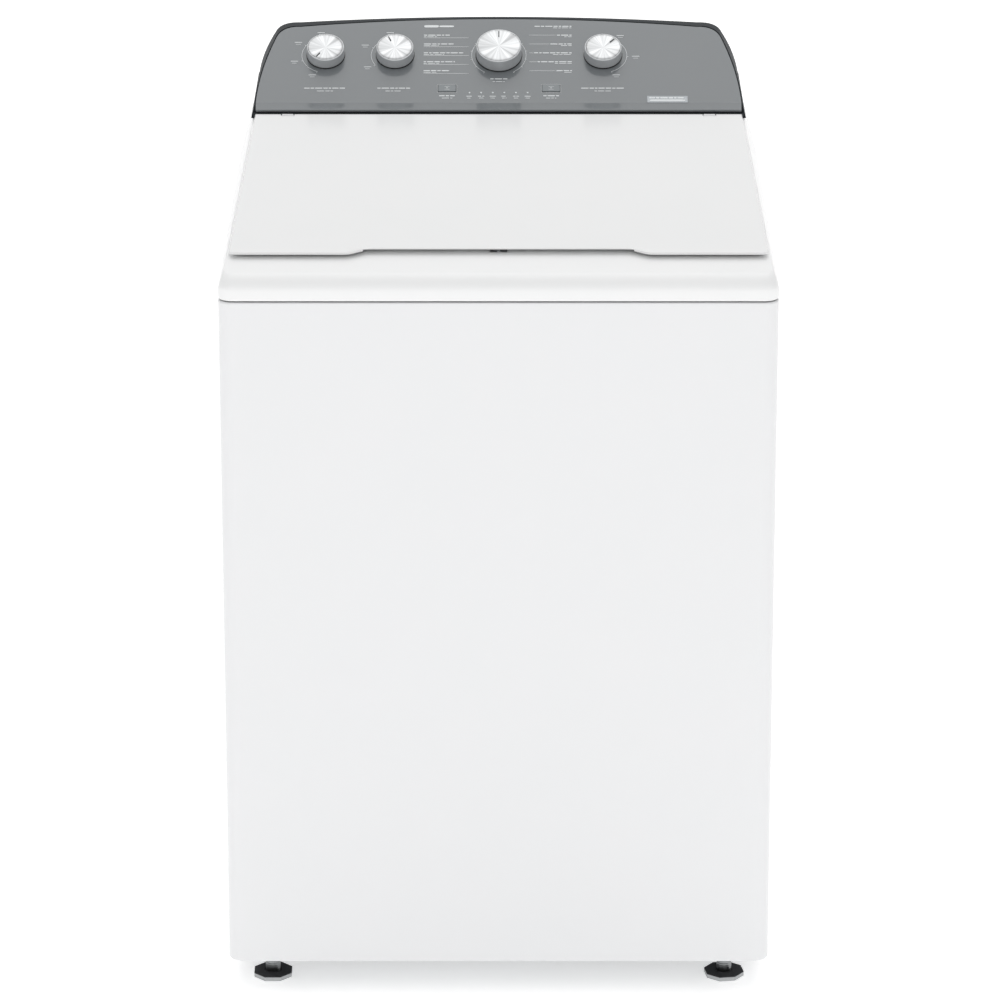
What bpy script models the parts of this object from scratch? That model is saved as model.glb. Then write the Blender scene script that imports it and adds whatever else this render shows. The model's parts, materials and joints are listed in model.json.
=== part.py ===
"""Top-load washing machine with a suspended tub, belt drive, hinged lid and sloping console.

Units are metres, +Z is up and the front faces -Y. The origin is on the floor, under the middle
of the machine. Every sub-part is one object; empties mark the console plane and the lid's hinge.
"""

import math

import bmesh
import bpy
from mathutils import Matrix, Vector

# Overall size
WIDTH = 0.700
DEPTH = 0.686
HALF_WIDTH = WIDTH / 2
FRONT_Y = -DEPTH / 2
REAR_Y = DEPTH / 2
CLEARANCE = 0.0003

# Cabinet
CABINET_BOTTOM = 0.043
CABINET_TOP = 0.9355
CORNER_RADIUS = 0.019
SHEET = 0.0012
LIP = 0.018

# Deck: a skirt, a rounded edge and a top that rises to the console
DECK_BOTTOM = 0.937
DECK_SHOULDER = 0.950
DECK_EDGE_RADIUS = 0.020
DECK_SLOPE = math.radians(7.08)
DECK_WALL = 0.003
SIDE_LEAN = 0.25
OPENING_HALF_WIDTH = 0.225
OPENING_FRONT = -0.240
OPENING_REAR = 0.140
OPENING_RADIUS = 0.110
WELL_BOTTOM = 0.950

# Lid: a slab whose rear edge is rounded about the hinge
LID_THICKNESS = 0.006
LID_RISE = 0.005
LID_HINGE_Y = 0.1745
LID_LENGTH = 0.461
LID_HALF_FRONT = 0.338
LID_HALF_REAR = 0.3235
SCOOP_HALF = 0.160
SCOOP_RAMP = 0.033
SCOOP_DEPTH = 0.014

# Console
CONSOLE_FRONT_Y = 0.180
LEDGE_FRONT_Z = 1.0446
PANEL_FOOT_Y = 0.2006
PANEL_FOOT_Z = 1.0488
PANEL_SLOPE = math.radians(31.9)
PANEL_HALF_FOOT = 0.3251
PANEL_TOP = 0.1566
RIM = 0.003
LEDGE_DROP = 0.0040
FOOT_GAP = 0.0016
COVER_Y = 0.330
FASCIA_THICKNESS = 0.0025

# Controls; each knob as (name, x, radius, height)
KNOB_T = 0.0878
KNOBS = (
    ("knob_soil", -0.2319, 0.0254, 0.0165),
    ("knob_temperature", -0.1389, 0.0254, 0.0165),
    ("knob_cycle", 0.0004, 0.0308, 0.0195),
    ("knob_rinse", 0.1401, 0.0254, 0.0165),
)
SHAFT_RADIUS = 0.003

# Connections in the console's rear cover, as (x, z, radius)
INLET_PORTS = ((0.215, 1.0800, 0.0130), (0.262, 1.0800, 0.0130))
DRAIN_PORT = (-0.120, 1.0680, 0.0100)
POWER_PORT = (-0.205, 1.0700, 0.0080)
BUTTONS = (("button_start", -0.0688), ("button_extra", 0.0701))
BUTTON_T = 0.0266
BUTTON_SIZE = (0.0240, 0.0125)
LAMP_T = 0.0187
LAMP_PITCH = 0.0155
LAMP_COUNT = 6

# Suspended tub
TUB_RADIUS = 0.2835
TUB_BOTTOM = 0.297
TUB_TOP = 0.872
TUB_WALL = 0.0035
BASKET_RADIUS = 0.256
BASKET_BOTTOM = 0.334
BASKET_TOP = 0.835
ROD_PLACE = 0.275
LUG_BOTTOM = 0.400
LUG_THICKNESS = 0.012
CUP_TOP = 0.300

# Drive
MOTOR_X = 0.165
MOTOR_Y = -0.060
PULLEY_BOTTOM = 0.128
PULLEY_TOP = 0.146
DRIVE_PULLEY_RADIUS = 0.085
MOTOR_PULLEY_RADIUS = 0.022

# Feet
FOOT_X = 0.295
FOOT_Y = 0.285
PAD_RADIUS = 0.0265
RAIL_BOTTOM = 0.0446
RAIL_HEIGHT = 0.030
RAIL_HALF_DEPTH = 0.030

# Side of each open sheet, as modelled, on which its wall grows
PANEL_SIDE = -1.0
RAIL_SIDE = -1.0
LINER_SIDE = 1.0
HOUSING_SIDE = -1.0
FASCIA_SIDE = 1.0

PALETTE = {
    "white_enamel": ((0.88, 0.89, 0.89), 0.30, 0.0),
    "white_plastic": ((0.84, 0.85, 0.85), 0.35, 0.0),
    "charcoal_plastic": ((0.050, 0.054, 0.056), 0.45, 0.0),
    "fascia_grey": ((0.240, 0.262, 0.270), 0.30, 0.0),
    "spun_metal": ((0.86, 0.87, 0.88), 0.22, 1.0),
    "button_grey": ((0.27, 0.29, 0.30), 0.35, 0.0),
    "galvanised": ((0.56, 0.58, 0.59), 0.45, 0.9),
    "steel": ((0.62, 0.63, 0.64), 0.32, 1.0),
    "stainless": ((0.70, 0.71, 0.72), 0.24, 1.0),
    "aluminium": ((0.72, 0.73, 0.74), 0.38, 1.0),
    "tub_plastic": ((0.60, 0.63, 0.66), 0.50, 0.0),
    "grey_plastic": ((0.40, 0.42, 0.44), 0.50, 0.0),
    "agitator_plastic": ((0.66, 0.69, 0.73), 0.38, 0.0),
    "rubber": ((0.035, 0.036, 0.038), 0.75, 0.0),
    "board_green": ((0.030, 0.140, 0.060), 0.45, 0.0),
    "lamp_clear": ((0.75, 0.80, 0.82), 0.20, 0.0),
    "blue_plastic": ((0.06, 0.16, 0.42), 0.40, 0.0),
}


def clear_scene():
    """Remove every object of the scene."""
    for item in list(bpy.data.objects):
        bpy.data.objects.remove(item, do_unlink=True)


def make_collection(name):
    """Return a new collection linked to the scene."""
    collection = bpy.data.collections.new(name)
    bpy.context.scene.collection.children.link(collection)
    return collection


def make_material(name, finish):
    """Return a Principled material for one sub-part in one finish of the palette."""
    colour, roughness, metallic = PALETTE[finish]
    material = bpy.data.materials.new(name)
    material.use_nodes = True
    shader = material.node_tree.nodes["Principled BSDF"]
    shader.inputs["Base Color"].default_value = (*colour, 1.0)
    shader.inputs["Roughness"].default_value = roughness
    shader.inputs["Metallic"].default_value = metallic
    material.diffuse_color = (*colour, 1.0)
    return material


def add_part(name, bm, finish, location=(0, 0, 0), parent=None, smooth=True):
    """Turn a bmesh into a named part of the machine and return the object."""
    bmesh.ops.recalc_face_normals(bm, faces=bm.faces)
    mesh = bpy.data.meshes.new(name)
    bm.to_mesh(mesh)
    bm.free()
    if smooth:
        mesh.shade_smooth()
        mesh.set_sharp_from_angle(angle=math.radians(35))
    mesh.materials.append(make_material(name, finish))
    part = bpy.data.objects.new(name, mesh)
    part.location = location
    part.parent = parent
    PARTS.objects.link(part)
    return part


def add_empty(name, location, tilt=0.0, parent=None):
    """Add an empty that carries parts, tilted about X."""
    empty = bpy.data.objects.new(name, None)
    empty.location = location
    empty.rotation_euler = (tilt, 0, 0)
    empty.parent = parent
    empty.empty_display_size = 0.03
    PARTS.objects.link(empty)
    return empty


def thicken(part, thickness, offset=-1.0):
    """Give an open sheet its wall; an offset of -1 grows it inwards."""
    solidify = part.modifiers.new("wall", "SOLIDIFY")
    solidify.thickness = thickness
    solidify.offset = offset
    solidify.use_even_offset = True
    solidify.use_rim = True


def block(size, centre=(0, 0, 0), bm=None):
    """Return a bmesh holding a box of the given size."""
    bm = bm or bmesh.new()
    place = Matrix.Translation(centre) @ Matrix.Diagonal((*size, 1.0))
    bmesh.ops.create_cube(bm, size=1.0, matrix=place)
    return bm


def soften(bm, width, segments=1):
    """Bevel every edge of a bmesh and return it."""
    bmesh.ops.bevel(bm, geom=bm.edges[:], offset=width, segments=segments, affect="EDGES")
    return bm


def rod(radius, low, high, steps=16, centre=(0, 0), bm=None, top_radius=None):
    """Return a bmesh holding an upright cylinder or cone between two heights."""
    bm = bm or bmesh.new()
    place = Matrix.Translation((*centre, (low + high) / 2))
    bmesh.ops.create_cone(
        bm,
        cap_ends=True,
        segments=steps,
        radius1=radius,
        radius2=radius if top_radius is None else top_radius,
        depth=high - low,
        matrix=place,
    )
    return bm


def cross_rod(radius, length, centre, bm=None, steps=10, axis="Y"):
    """Return a bmesh holding a cylinder turned about an axis so that it lies level."""
    bm = bm or bmesh.new()
    place = Matrix.Translation(centre) @ Matrix.Rotation(math.pi / 2, 4, axis)
    bmesh.ops.create_cone(
        bm, cap_ends=True, segments=steps, radius1=radius, radius2=radius, depth=length, matrix=place
    )
    return bm


def turned(name, profile, finish, steps, location=(0, 0, 0), parent=None, closed=False):
    """Add a part turned about Z from a profile of (radius, height) points.

    An open profile starts and ends on the axis, a closed one makes a ring. The outer side
    runs downwards, so that the turned faces look out.
    """
    turning = sum(a[0] * b[1] - b[0] * a[1] for a, b in zip(profile, profile[1:] + profile[:1]))
    if turning > 0:
        profile = profile[::-1]
    bm = bmesh.new()
    points = [bm.verts.new((radius, 0, height)) for radius, height in profile]
    for first, second in zip(points, points[1:]):
        bm.edges.new((first, second))
    if closed:
        bm.edges.new((points[-1], points[0]))
    mesh = bpy.data.meshes.new(name)
    bm.to_mesh(mesh)
    bm.free()
    mesh.materials.append(make_material(name, finish))
    part = bpy.data.objects.new(name, mesh)
    part.location = location
    part.parent = parent
    PARTS.objects.link(part)
    screw = part.modifiers.new("turn", "SCREW")
    screw.axis = "Z"
    screw.angle = math.tau
    screw.steps = steps
    screw.render_steps = steps
    screw.use_merge_vertices = True
    screw.merge_threshold = 0.00005
    return part


def prism(outline, low, high, bm=None):
    """Return a bmesh holding a flat outline raised from one height to another."""
    bm = bm or bmesh.new()
    face = bm.faces.new([bm.verts.new((x, y, low)) for x, y in outline])
    raised = bmesh.ops.extrude_face_region(bm, geom=[face])
    top = [item for item in raised["geom"] if isinstance(item, bmesh.types.BMVert)]
    bmesh.ops.translate(bm, verts=top, vec=(0, 0, high - low))
    return bm


def tube(name, points, radius, finish, sides=2, parent=None):
    """Add a bent tube along points, with filled ends."""
    curve = bpy.data.curves.new(name, "CURVE")
    curve.dimensions = "3D"
    curve.bevel_depth = radius
    curve.bevel_resolution = sides
    curve.use_fill_caps = True
    curve.resolution_u = 4
    spline = curve.splines.new("POLY")
    spline.points.add(len(points) - 1)
    for place, target in zip(spline.points, points):
        place.co = (*target, 1.0)
    curve.materials.append(make_material(name, finish))
    part = bpy.data.objects.new(name, curve)
    part.parent = parent
    PARTS.objects.link(part)
    return part


def combine(part, other, operation):
    """Add an exact Boolean to a part; the other object stays out of the machine."""
    boolean = part.modifiers.new(operation.lower(), "BOOLEAN")
    boolean.operation = operation
    boolean.solver = "EXACT"
    boolean.object = other


def add_cutter(name, bm, parent=None):
    """Add a hidden object that shapes a part through a Boolean."""
    bmesh.ops.recalc_face_normals(bm, faces=bm.faces)
    mesh = bpy.data.meshes.new(name)
    bm.to_mesh(mesh)
    bm.free()
    cutter = bpy.data.objects.new(name, mesh)
    cutter.parent = parent
    cutter.hide_render = True
    cutter.display_type = "WIRE"
    CUTTERS.objects.link(cutter)
    return cutter


def arc(centre, radius, start, end, steps):
    """Return points of an arc in degrees, both ends included."""
    angles = [math.radians(start + (end - start) * step / steps) for step in range(steps + 1)]
    return [(centre[0] + radius * math.cos(a), centre[1] + radius * math.sin(a)) for a in angles]


def rounded_rectangle(half_front, half_rear, front, rear, radius, steps):
    """Return a rounded outline, from the front left corner round to the rear left one."""
    outline = arc((-half_front + radius, front + radius), radius, 180, 270, steps)
    outline += arc((half_front - radius, front + radius), radius, 270, 360, steps)
    outline += arc((half_rear - radius, rear - radius), radius, 0, 90, steps)
    outline += arc((-half_rear + radius, rear - radius), radius, 90, 180, steps)
    return outline


def bridge_rings(bm, rings, closed=True):
    """Join rings of vertices into a strip of quads, ring after ring."""
    for lower, upper in zip(rings, rings[1:]):
        count = len(lower)
        for index in range(count if closed else count - 1):
            after = (index + 1) % count
            bm.faces.new((lower[index], lower[after], upper[after], upper[index]))


def deck_height(y):
    """Return the height of the deck's sloping top at a depth."""
    return DECK_SHOULDER + DECK_EDGE_RADIUS + (y - FRONT_Y - DECK_EDGE_RADIUS) * math.tan(DECK_SLOPE)


# --- Cabinet and base -------------------------------------------------------------------------


def cabinet_path(inset):
    """Return the cabinet wrap's plan, inset from its outer face, from rear left to rear right."""
    side = HALF_WIDTH - inset
    rear = REAR_Y - inset
    radius = CORNER_RADIUS - inset
    centre_x = HALF_WIDTH - CORNER_RADIUS
    centre_y = FRONT_Y + CORNER_RADIUS
    path = [(-HALF_WIDTH + 0.024, rear), (-side, rear)]
    path += arc((-centre_x, centre_y), radius, 180, 270, 4)
    path += arc((centre_x, centre_y), radius, 270, 360, 4)
    path += [(side, rear), (HALF_WIDTH - 0.024, rear)]
    return path


def build_cabinet():
    """Build the wrapped sheet, its rear panel and the braces in its top corners."""
    bm = bmesh.new()
    levels = (
        (LIP, CABINET_BOTTOM),
        (0.0, CABINET_BOTTOM),
        (0.0, CABINET_TOP),
        (LIP, CABINET_TOP),
    )
    rings = []
    for inset, z in levels:
        rings.append([bm.verts.new((x, y, z)) for x, y in cabinet_path(inset)])
    bridge_rings(bm, rings, closed=False)
    shell = add_part("cabinet_shell", bm, "white_enamel")
    thicken(shell, SHEET)

    half = HALF_WIDTH - SHEET - 2 * CLEARANCE
    low = CABINET_BOTTOM + SHEET + CLEARANCE
    high = CABINET_TOP - SHEET - CLEARANCE
    face_y = REAR_Y - SHEET - CLEARANCE
    bm = bmesh.new()
    columns = [-half, -0.02, 0.02, half]
    rows = [low, 0.30, 0.34, high]
    grid = [[bm.verts.new((x, face_y, z)) for x in columns] for z in rows]
    bridge_rings(bm, grid, closed=False)
    bm.normal_update()
    fields = [face for face in bm.faces if face.calc_area() > 0.05]
    for face in fields:
        bmesh.ops.inset_region(bm, faces=[face], thickness=0.030)
        bmesh.ops.inset_region(bm, faces=[face], thickness=0.008)
        bmesh.ops.translate(bm, verts=face.verts, vec=(0, -0.007, 0))
    panel = add_part("rear_panel", bm, "galvanised", smooth=False)
    thicken(panel, SHEET, offset=PANEL_SIDE)

    for side, hand in ((-1, "left"), (1, "right")):
        build_top_brace(side, hand)


def build_top_brace(side, hand):
    """Build one steel strap along a side wall that carries two suspension rods at its ends."""
    wall_x = HALF_WIDTH - SHEET - CLEARANCE
    wall_y = REAR_Y - 0.010
    neck_x = wall_x - 0.030
    outline = [(wall_x, wall_y - 0.022), (wall_x - 0.022, wall_y), (0.200, wall_y), (neck_x, 0.190)]
    outline += [(x, -y) for x, y in reversed(outline)]
    bm = prism([(side * x, y) for x, y in outline], 0.905, 0.9085)
    brace = add_part(f"top_brace_{hand}", bm, "galvanised", smooth=False)
    holes = bmesh.new()
    for end in (-1, 1):
        rod(0.0065, 0.900, 0.915, 12, (side * ROD_PLACE, end * ROD_PLACE), holes)
    combine(brace, add_cutter(f"brace_holes_{hand}", holes), "DIFFERENCE")


def build_rails():
    """Build the two base rails, the feet with their lock nuts and the rear foot pads."""
    half = HALF_WIDTH - SHEET - 2 * CLEARANCE
    for end, name in ((-1, "front"), (1, "rear")):
        bm = bmesh.new()
        section = [
            (-RAIL_HALF_DEPTH, RAIL_BOTTOM + RAIL_HEIGHT),
            (-RAIL_HALF_DEPTH, RAIL_BOTTOM),
            (RAIL_HALF_DEPTH, RAIL_BOTTOM),
            (RAIL_HALF_DEPTH, RAIL_BOTTOM + RAIL_HEIGHT),
        ]
        rings = [[bm.verts.new((x, end * FOOT_Y + y, z)) for y, z in section] for x in (-half, half)]
        bridge_rings(bm, rings, closed=False)
        rail = add_part(f"base_rail_{name}", bm, "galvanised", smooth=False)
        thicken(rail, 0.0025, offset=RAIL_SIDE)
        holes = bmesh.new()
        for side in (-1, 1):
            rod(0.0060, 0.035, 0.060, 12, (side * FOOT_X, end * FOOT_Y), holes)
        combine(rail, add_cutter(f"rail_holes_{name}", holes), "DIFFERENCE")
        for side, hand in ((-1, "left"), (1, "right")):
            build_foot(side * FOOT_X, end * FOOT_Y, f"{name}_{hand}", adjustable=end < 0)


def build_foot(x, y, name, adjustable):
    """Build one levelling foot: an eight-sided rubber pad and a screw that turns in its socket.

    The rear feet are fixed, so their pad and screw are one piece.
    """
    bm = rod(PAD_RADIUS, 0.0, 0.0050, 8)
    bmesh.ops.rotate(bm, verts=bm.verts, cent=(0, 0, 0), matrix=Matrix.Rotation(math.tau / 16, 3, "Z"))
    bm.normal_update()
    top = [face for face in bm.faces if face.normal.z > 0.9]
    bmesh.ops.inset_region(bm, faces=top, thickness=0.0040, depth=0.0020)
    bmesh.ops.inset_region(bm, faces=top, thickness=0.0100, depth=0.0)
    if adjustable:
        bmesh.ops.inset_region(bm, faces=top, thickness=0.0003, depth=-0.0040)
    else:
        bmesh.ops.inset_region(bm, faces=top, thickness=0.0010, depth=0.0260)
        bmesh.ops.inset_region(bm, faces=top, thickness=0.0062, depth=0.0)
        bmesh.ops.inset_region(bm, faces=top, thickness=0.0002, depth=0.0500)
    add_part(f"foot_pad_{name}" if adjustable else f"foot_{name}", bm, "rubber", (x, y, 0), smooth=False)
    if adjustable:
        profile = [
            (0, 0.0850),
            (0.0050, 0.0850),
            (0.0050, 0.0350),
            (0.0098, 0.0330),
            (0.0098, 0.0036),
            (0, 0.0036),
        ]
        turned(f"foot_screw_{name}", profile, "steel", 12, (x, y, 0))


# --- Deck -------------------------------------------------------------------------------------


def deck_ring(bm, angle):
    """Return the deck's outline part of the way round its edge, from the shoulder to the top."""
    turn = math.radians(angle)
    front = FRONT_Y + DECK_EDGE_RADIUS * (1 - math.cos(turn))
    radius = CORNER_RADIUS - 0.006 * math.sin(turn)
    rises = {}
    for end, y in (("front", FRONT_Y + DECK_EDGE_RADIUS), ("rear", REAR_Y)):
        rises[end] = (deck_height(y) - DECK_SHOULDER) * math.sin(turn)
    halves = {end: HALF_WIDTH - SIDE_LEAN * rise for end, rise in rises.items()}
    outline = rounded_rectangle(halves["front"], halves["rear"], front, REAR_Y, radius, 4)
    heights = [(deck_height(y) - DECK_SHOULDER) * math.sin(turn) for _, y in outline]
    return [bm.verts.new((x, y, DECK_SHOULDER + rise)) for (x, y), rise in zip(outline, heights)]


def build_deck():
    """Build the moulded deck with its skirt, rounded edge, loading opening and service slots."""
    bm = bmesh.new()
    base = rounded_rectangle(HALF_WIDTH, HALF_WIDTH, FRONT_Y, REAR_Y, CORNER_RADIUS, 4)
    rings = [[bm.verts.new((x, y, DECK_BOTTOM)) for x, y in base]]
    rings += [deck_ring(bm, angle) for angle in (0, 25, 50, 70, 90)]
    opening = rounded_rectangle(
        OPENING_HALF_WIDTH, OPENING_HALF_WIDTH, OPENING_FRONT, OPENING_REAR, OPENING_RADIUS, 4
    )
    rings.append([bm.verts.new((x, y, deck_height(y))) for x, y in opening])
    rings.append([bm.verts.new((x, y, WELL_BOTTOM)) for x, y in opening])
    bridge_rings(bm, rings)
    deck = add_part("top_deck", bm, "white_plastic")
    thicken(deck, DECK_WALL)

    cuts = block((0.440, 0.108, 0.060), (0, 0.266, deck_height(0.266)))
    block((0.022, 0.014, 0.030), (0, -0.2555, deck_height(-0.2555)), cuts)
    block((0.070, 0.020, 0.016), (0, OPENING_REAR, 0.986), cuts)
    combine(deck, add_cutter("deck_cuts", cuts), "DIFFERENCE")


# --- Lid --------------------------------------------------------------------------------------


def build_lid():
    """Build the lid slab, its liner and strike, and the two brackets with their pins."""
    hinge_z = deck_height(LID_HINGE_Y) + LID_RISE / math.cos(DECK_SLOPE)
    frame = add_empty("lid_hinge", (0, LID_HINGE_Y, hinge_z), DECK_SLOPE)
    half = LID_THICKNESS / 2
    front = -LID_LENGTH
    outline = arc((-LID_HALF_FRONT + 0.008, front + 0.008), 0.008, 180, 270, 3)
    outline += [
        (-SCOOP_HALF - SCOOP_RAMP, front),
        (-SCOOP_HALF, front + SCOOP_DEPTH),
        (SCOOP_HALF, front + SCOOP_DEPTH),
        (SCOOP_HALF + SCOOP_RAMP, front),
    ]
    outline += arc((LID_HALF_FRONT - 0.008, front + 0.008), 0.008, 270, 360, 3)
    outline += [(LID_HALF_REAR, half), (-LID_HALF_REAR, half)]
    bm = prism(outline, -half, half)
    rear = [edge for edge in bm.edges if all(vert.co.y > half - 0.0001 for vert in edge.verts)]
    rear = [edge for edge in rear if abs(edge.verts[0].co.x - edge.verts[1].co.x) > 0.1]
    bmesh.ops.bevel(bm, geom=rear, offset=half * 0.98, segments=3, affect="EDGES", profile=0.5)
    rim = [
        edge
        for edge in bm.edges
        if all(vert.co.z > half - 0.0001 and vert.co.y < -0.02 for vert in edge.verts)
    ]
    bmesh.ops.bevel(bm, geom=rim, offset=0.0020, segments=2, affect="EDGES", profile=0.5)
    lid = add_part("lid", bm, "white_enamel", parent=frame)

    slots = bmesh.new()
    bores = bmesh.new()
    for side in (-1, 1):
        block((0.0180, 0.0200, 0.0100), (side * 0.280, 0.0050, 0), slots)
        cross_rod(0.0021, 0.040, (side * 0.280, 0, 0), bores)
    combine(lid, add_cutter("lid_slots", slots, frame), "DIFFERENCE")
    combine(lid, add_cutter("lid_bores", bores, frame), "DIFFERENCE")
    under = block((2 * SCOOP_HALF + 0.02, 0.030, 0.010))
    bmesh.ops.rotate(under, verts=under.verts, cent=(0, 0, 0), matrix=Matrix.Rotation(-0.27, 3, "X"))
    bmesh.ops.translate(under, verts=under.verts, vec=(0, front + SCOOP_DEPTH + 0.0045, -0.0050))
    combine(lid, add_cutter("lid_finger_cut", under, frame), "DIFFERENCE")

    bm = bmesh.new()
    top = rounded_rectangle(0.212, 0.212, -0.402, -0.050, 0.10, 4)
    low = rounded_rectangle(0.200, 0.200, -0.390, -0.062, 0.09, 4)
    rings = [
        [bm.verts.new((x, y, -half - CLEARANCE)) for x, y in top],
        [bm.verts.new((x, y, -half - 0.0115)) for x, y in low],
    ]
    bridge_rings(bm, rings)
    bm.faces.new(rings[1])
    liner = add_part("lid_liner", bm, "white_plastic", parent=frame)
    thicken(liner, 0.002, offset=LINER_SIDE)

    strike = block((0.0040, 0.0092, 0.0240), (0, -0.4359, -half - CLEARANCE - 0.0120))
    part = add_part("lid_strike", strike, "steel", parent=frame, smooth=False)
    window = block((0.0100, 0.0066, 0.0062), (0, -0.4359, -0.0209))
    combine(part, add_cutter("strike_window", window, frame), "DIFFERENCE")

    for side, hand in ((-1, "left"), (1, "right")):
        bracket = soften(block((0.0160, 0.0050, 0.0078), (side * 0.280, 0, -0.0008)), 0.0008)
        part = add_part(f"hinge_bracket_{hand}", bracket, "steel", smooth=False, parent=frame)
        pin = cross_rod(0.0016, 0.036, (side * 0.280, 0, 0))
        combine(part, add_cutter(f"hinge_pin_{hand}", pin, frame), "UNION")


def build_lid_lock():
    """Build the lock housing under the deck's front and the bolt that slides through the strike."""
    centre_y = -0.2555
    under = deck_height(centre_y) - DECK_WALL - 0.0010
    housing = block((0.080, 0.022, 0.030), (0, centre_y, under - 0.0170))
    part = add_part("lid_lock", soften(housing, 0.0015), "grey_plastic", smooth=False)
    slot = block((0.014, 0.013, 0.030), (0, centre_y, under - 0.0070))
    combine(part, add_cutter("lock_slot", slot), "DIFFERENCE")
    channel = block((0.060, 0.0066, 0.0056), (0.014, centre_y, under - 0.0120))
    combine(part, add_cutter("lock_channel", channel), "DIFFERENCE")
    bolt = block((0.020, 0.0052, 0.0046), (0.026, centre_y, under - 0.0120))
    add_part("lid_lock_bolt", soften(bolt, 0.0004), "steel", smooth=False)


# --- Console ----------------------------------------------------------------------------------


def panel_side(t):
    """Return half the console's width at a place up the panel."""
    return PANEL_HALF_FOOT - 0.06 * t - 1.20 * t * t


def panel_outline(rim=0.0, steps=4):
    """Return the panel's right half from its foot to the middle of its crown."""
    points = []
    for step in range(steps + 1):
        t = 0.118 * step / steps
        points.append((panel_side(t) - rim, t))
    start = Vector(points[-1])
    crown_x = 0.2680
    end = Vector((crown_x - rim, PANEL_TOP - rim - 0.20 * crown_x**2))
    corner = Vector((panel_side(0.137) - rim, end.y + 0.0015))
    for step in range(1, 6):
        f = step / 5
        points.append(tuple(start * (1 - f) ** 2 + corner * 2 * f * (1 - f) + end * f**2))
    for step in range(1, 5):
        x = (crown_x - rim) * (1 - step / 4)
        points.append((x, PANEL_TOP - rim - 0.20 * x * x))
    return points


def mirrored(points):
    """Return a right half outline followed by its left half."""
    return points + [(-x, t) for x, t in reversed(points[:-1])]


def build_console_housing():
    """Build the charcoal shell behind the fascia, open at its front, bottom and rear."""
    bm = bmesh.new()
    front = []
    rear = []
    foot_z = deck_height(CONSOLE_FRONT_Y) + FOOT_GAP
    for y, z in ((CONSOLE_FRONT_Y, foot_z), (CONSOLE_FRONT_Y, LEDGE_FRONT_Z)):
        front.append((PANEL_HALF_FOOT + SIDE_LEAN * (PANEL_FOOT_Z - z), y, z))
    for x, t in panel_outline():
        front.append((x, PANEL_FOOT_Y + t * math.cos(PANEL_SLOPE), PANEL_FOOT_Z + t * math.sin(PANEL_SLOPE)))
    front += [(-x, y, z) for x, y, z in reversed(front[:-1])]
    rear_z = deck_height(REAR_Y) + FOOT_GAP
    for x, _, z in front:
        reach = max(-PANEL_HALF_FOOT, min(x, PANEL_HALF_FOOT))
        rear.append((x, REAR_Y - 0.0005, z) if z > rear_z else (reach, REAR_Y - 0.0005, rear_z))
    rings = [[bm.verts.new(point) for point in front], [bm.verts.new(point) for point in rear]]
    bridge_rings(bm, rings, closed=False)
    bmesh.ops.remove_doubles(bm, verts=bm.verts, dist=0.00001)
    bmesh.ops.dissolve_degenerate(bm, edges=bm.edges, dist=0.00001)
    housing = add_part("console_housing", bm, "charcoal_plastic")
    thicken(housing, RIM, offset=HOUSING_SIDE)

    half = PANEL_HALF_FOOT + 0.0013
    sill_low = foot_z + CLEARANCE
    sill_high = LEDGE_FRONT_Z - LEDGE_DROP
    sill_y = CONSOLE_FRONT_Y + CLEARANCE + RIM / 2
    sill = block((2 * half, RIM, sill_high - sill_low), (0, sill_y, (sill_low + sill_high) / 2))
    combine(housing, add_cutter("console_sill", sill), "UNION")

    bm = bmesh.new()
    low = deck_height(COVER_Y) + FOOT_GAP
    points = []
    for x, t in panel_outline(RIM + 2 * CLEARANCE):
        points.append((x, PANEL_FOOT_Z + t * math.sin(PANEL_SLOPE) - 0.0060))
    points = [(x, z) for x, z in points if z > low + 0.004]
    points.insert(0, (points[0][0], low))
    outline = points + [(-x, z) for x, z in reversed(points[:-1])]
    face = bm.faces.new([bm.verts.new((x, COVER_Y, z)) for x, z in outline])
    raised = bmesh.ops.extrude_face_region(bm, geom=[face])
    verts = [item for item in raised["geom"] if isinstance(item, bmesh.types.BMVert)]
    bmesh.ops.translate(bm, verts=verts, vec=(0, -0.002, 0))
    cover = add_part("console_rear_cover", bm, "galvanised", smooth=False)
    holes = bmesh.new()
    for x, z, radius in (*INLET_PORTS, DRAIN_PORT, POWER_PORT):
        cross_rod(radius + 0.0012, 0.020, (x, COVER_Y, z), holes, 16, "X")
    combine(cover, add_cutter("rear_cover_holes", holes), "DIFFERENCE")


def build_fascia(panel):
    """Build the grey fascia with its ledge, and the holes for shafts, buttons and lamps."""
    bm = bmesh.new()
    rim = RIM + CLEARANCE
    outline = mirrored(panel_outline(rim))
    top = [bm.verts.new((x, t, 0)) for x, t in outline]
    bm.faces.new(top)
    ledge_y = CONSOLE_FRONT_Y + 2 * CLEARANCE - PANEL_FOOT_Y
    ledge_z = LEDGE_FRONT_Z - PANEL_FOOT_Z
    turn = Matrix.Rotation(-PANEL_SLOPE, 3, "X")
    corners = []
    for side in (-1, 1):
        reach = side * (PANEL_HALF_FOOT - rim - 0.0008)
        corners.append(bm.verts.new(turn @ Vector((reach, ledge_y, ledge_z))))
    bm.faces.new((top[-1], corners[0], corners[1], top[0]))
    fascia = add_part("control_panel", bm, "fascia_grey", parent=panel)
    thicken(fascia, FASCIA_THICKNESS, offset=FASCIA_SIDE)

    cuts = bmesh.new()
    for _, x, _, _ in KNOBS:
        rod(SHAFT_RADIUS + 0.0012, -0.01, 0.01, 12, (x, KNOB_T), cuts)
    for _, x in BUTTONS:
        block((BUTTON_SIZE[0] + 0.0010, BUTTON_SIZE[1] + 0.0010, 0.02), (x, BUTTON_T, 0), cuts)
    for index in range(LAMP_COUNT):
        rod(0.0015, -0.01, 0.01, 8, (lamp_x(index), LAMP_T), cuts)
    combine(fascia, add_cutter("panel_cuts", cuts, panel), "DIFFERENCE")


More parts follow.
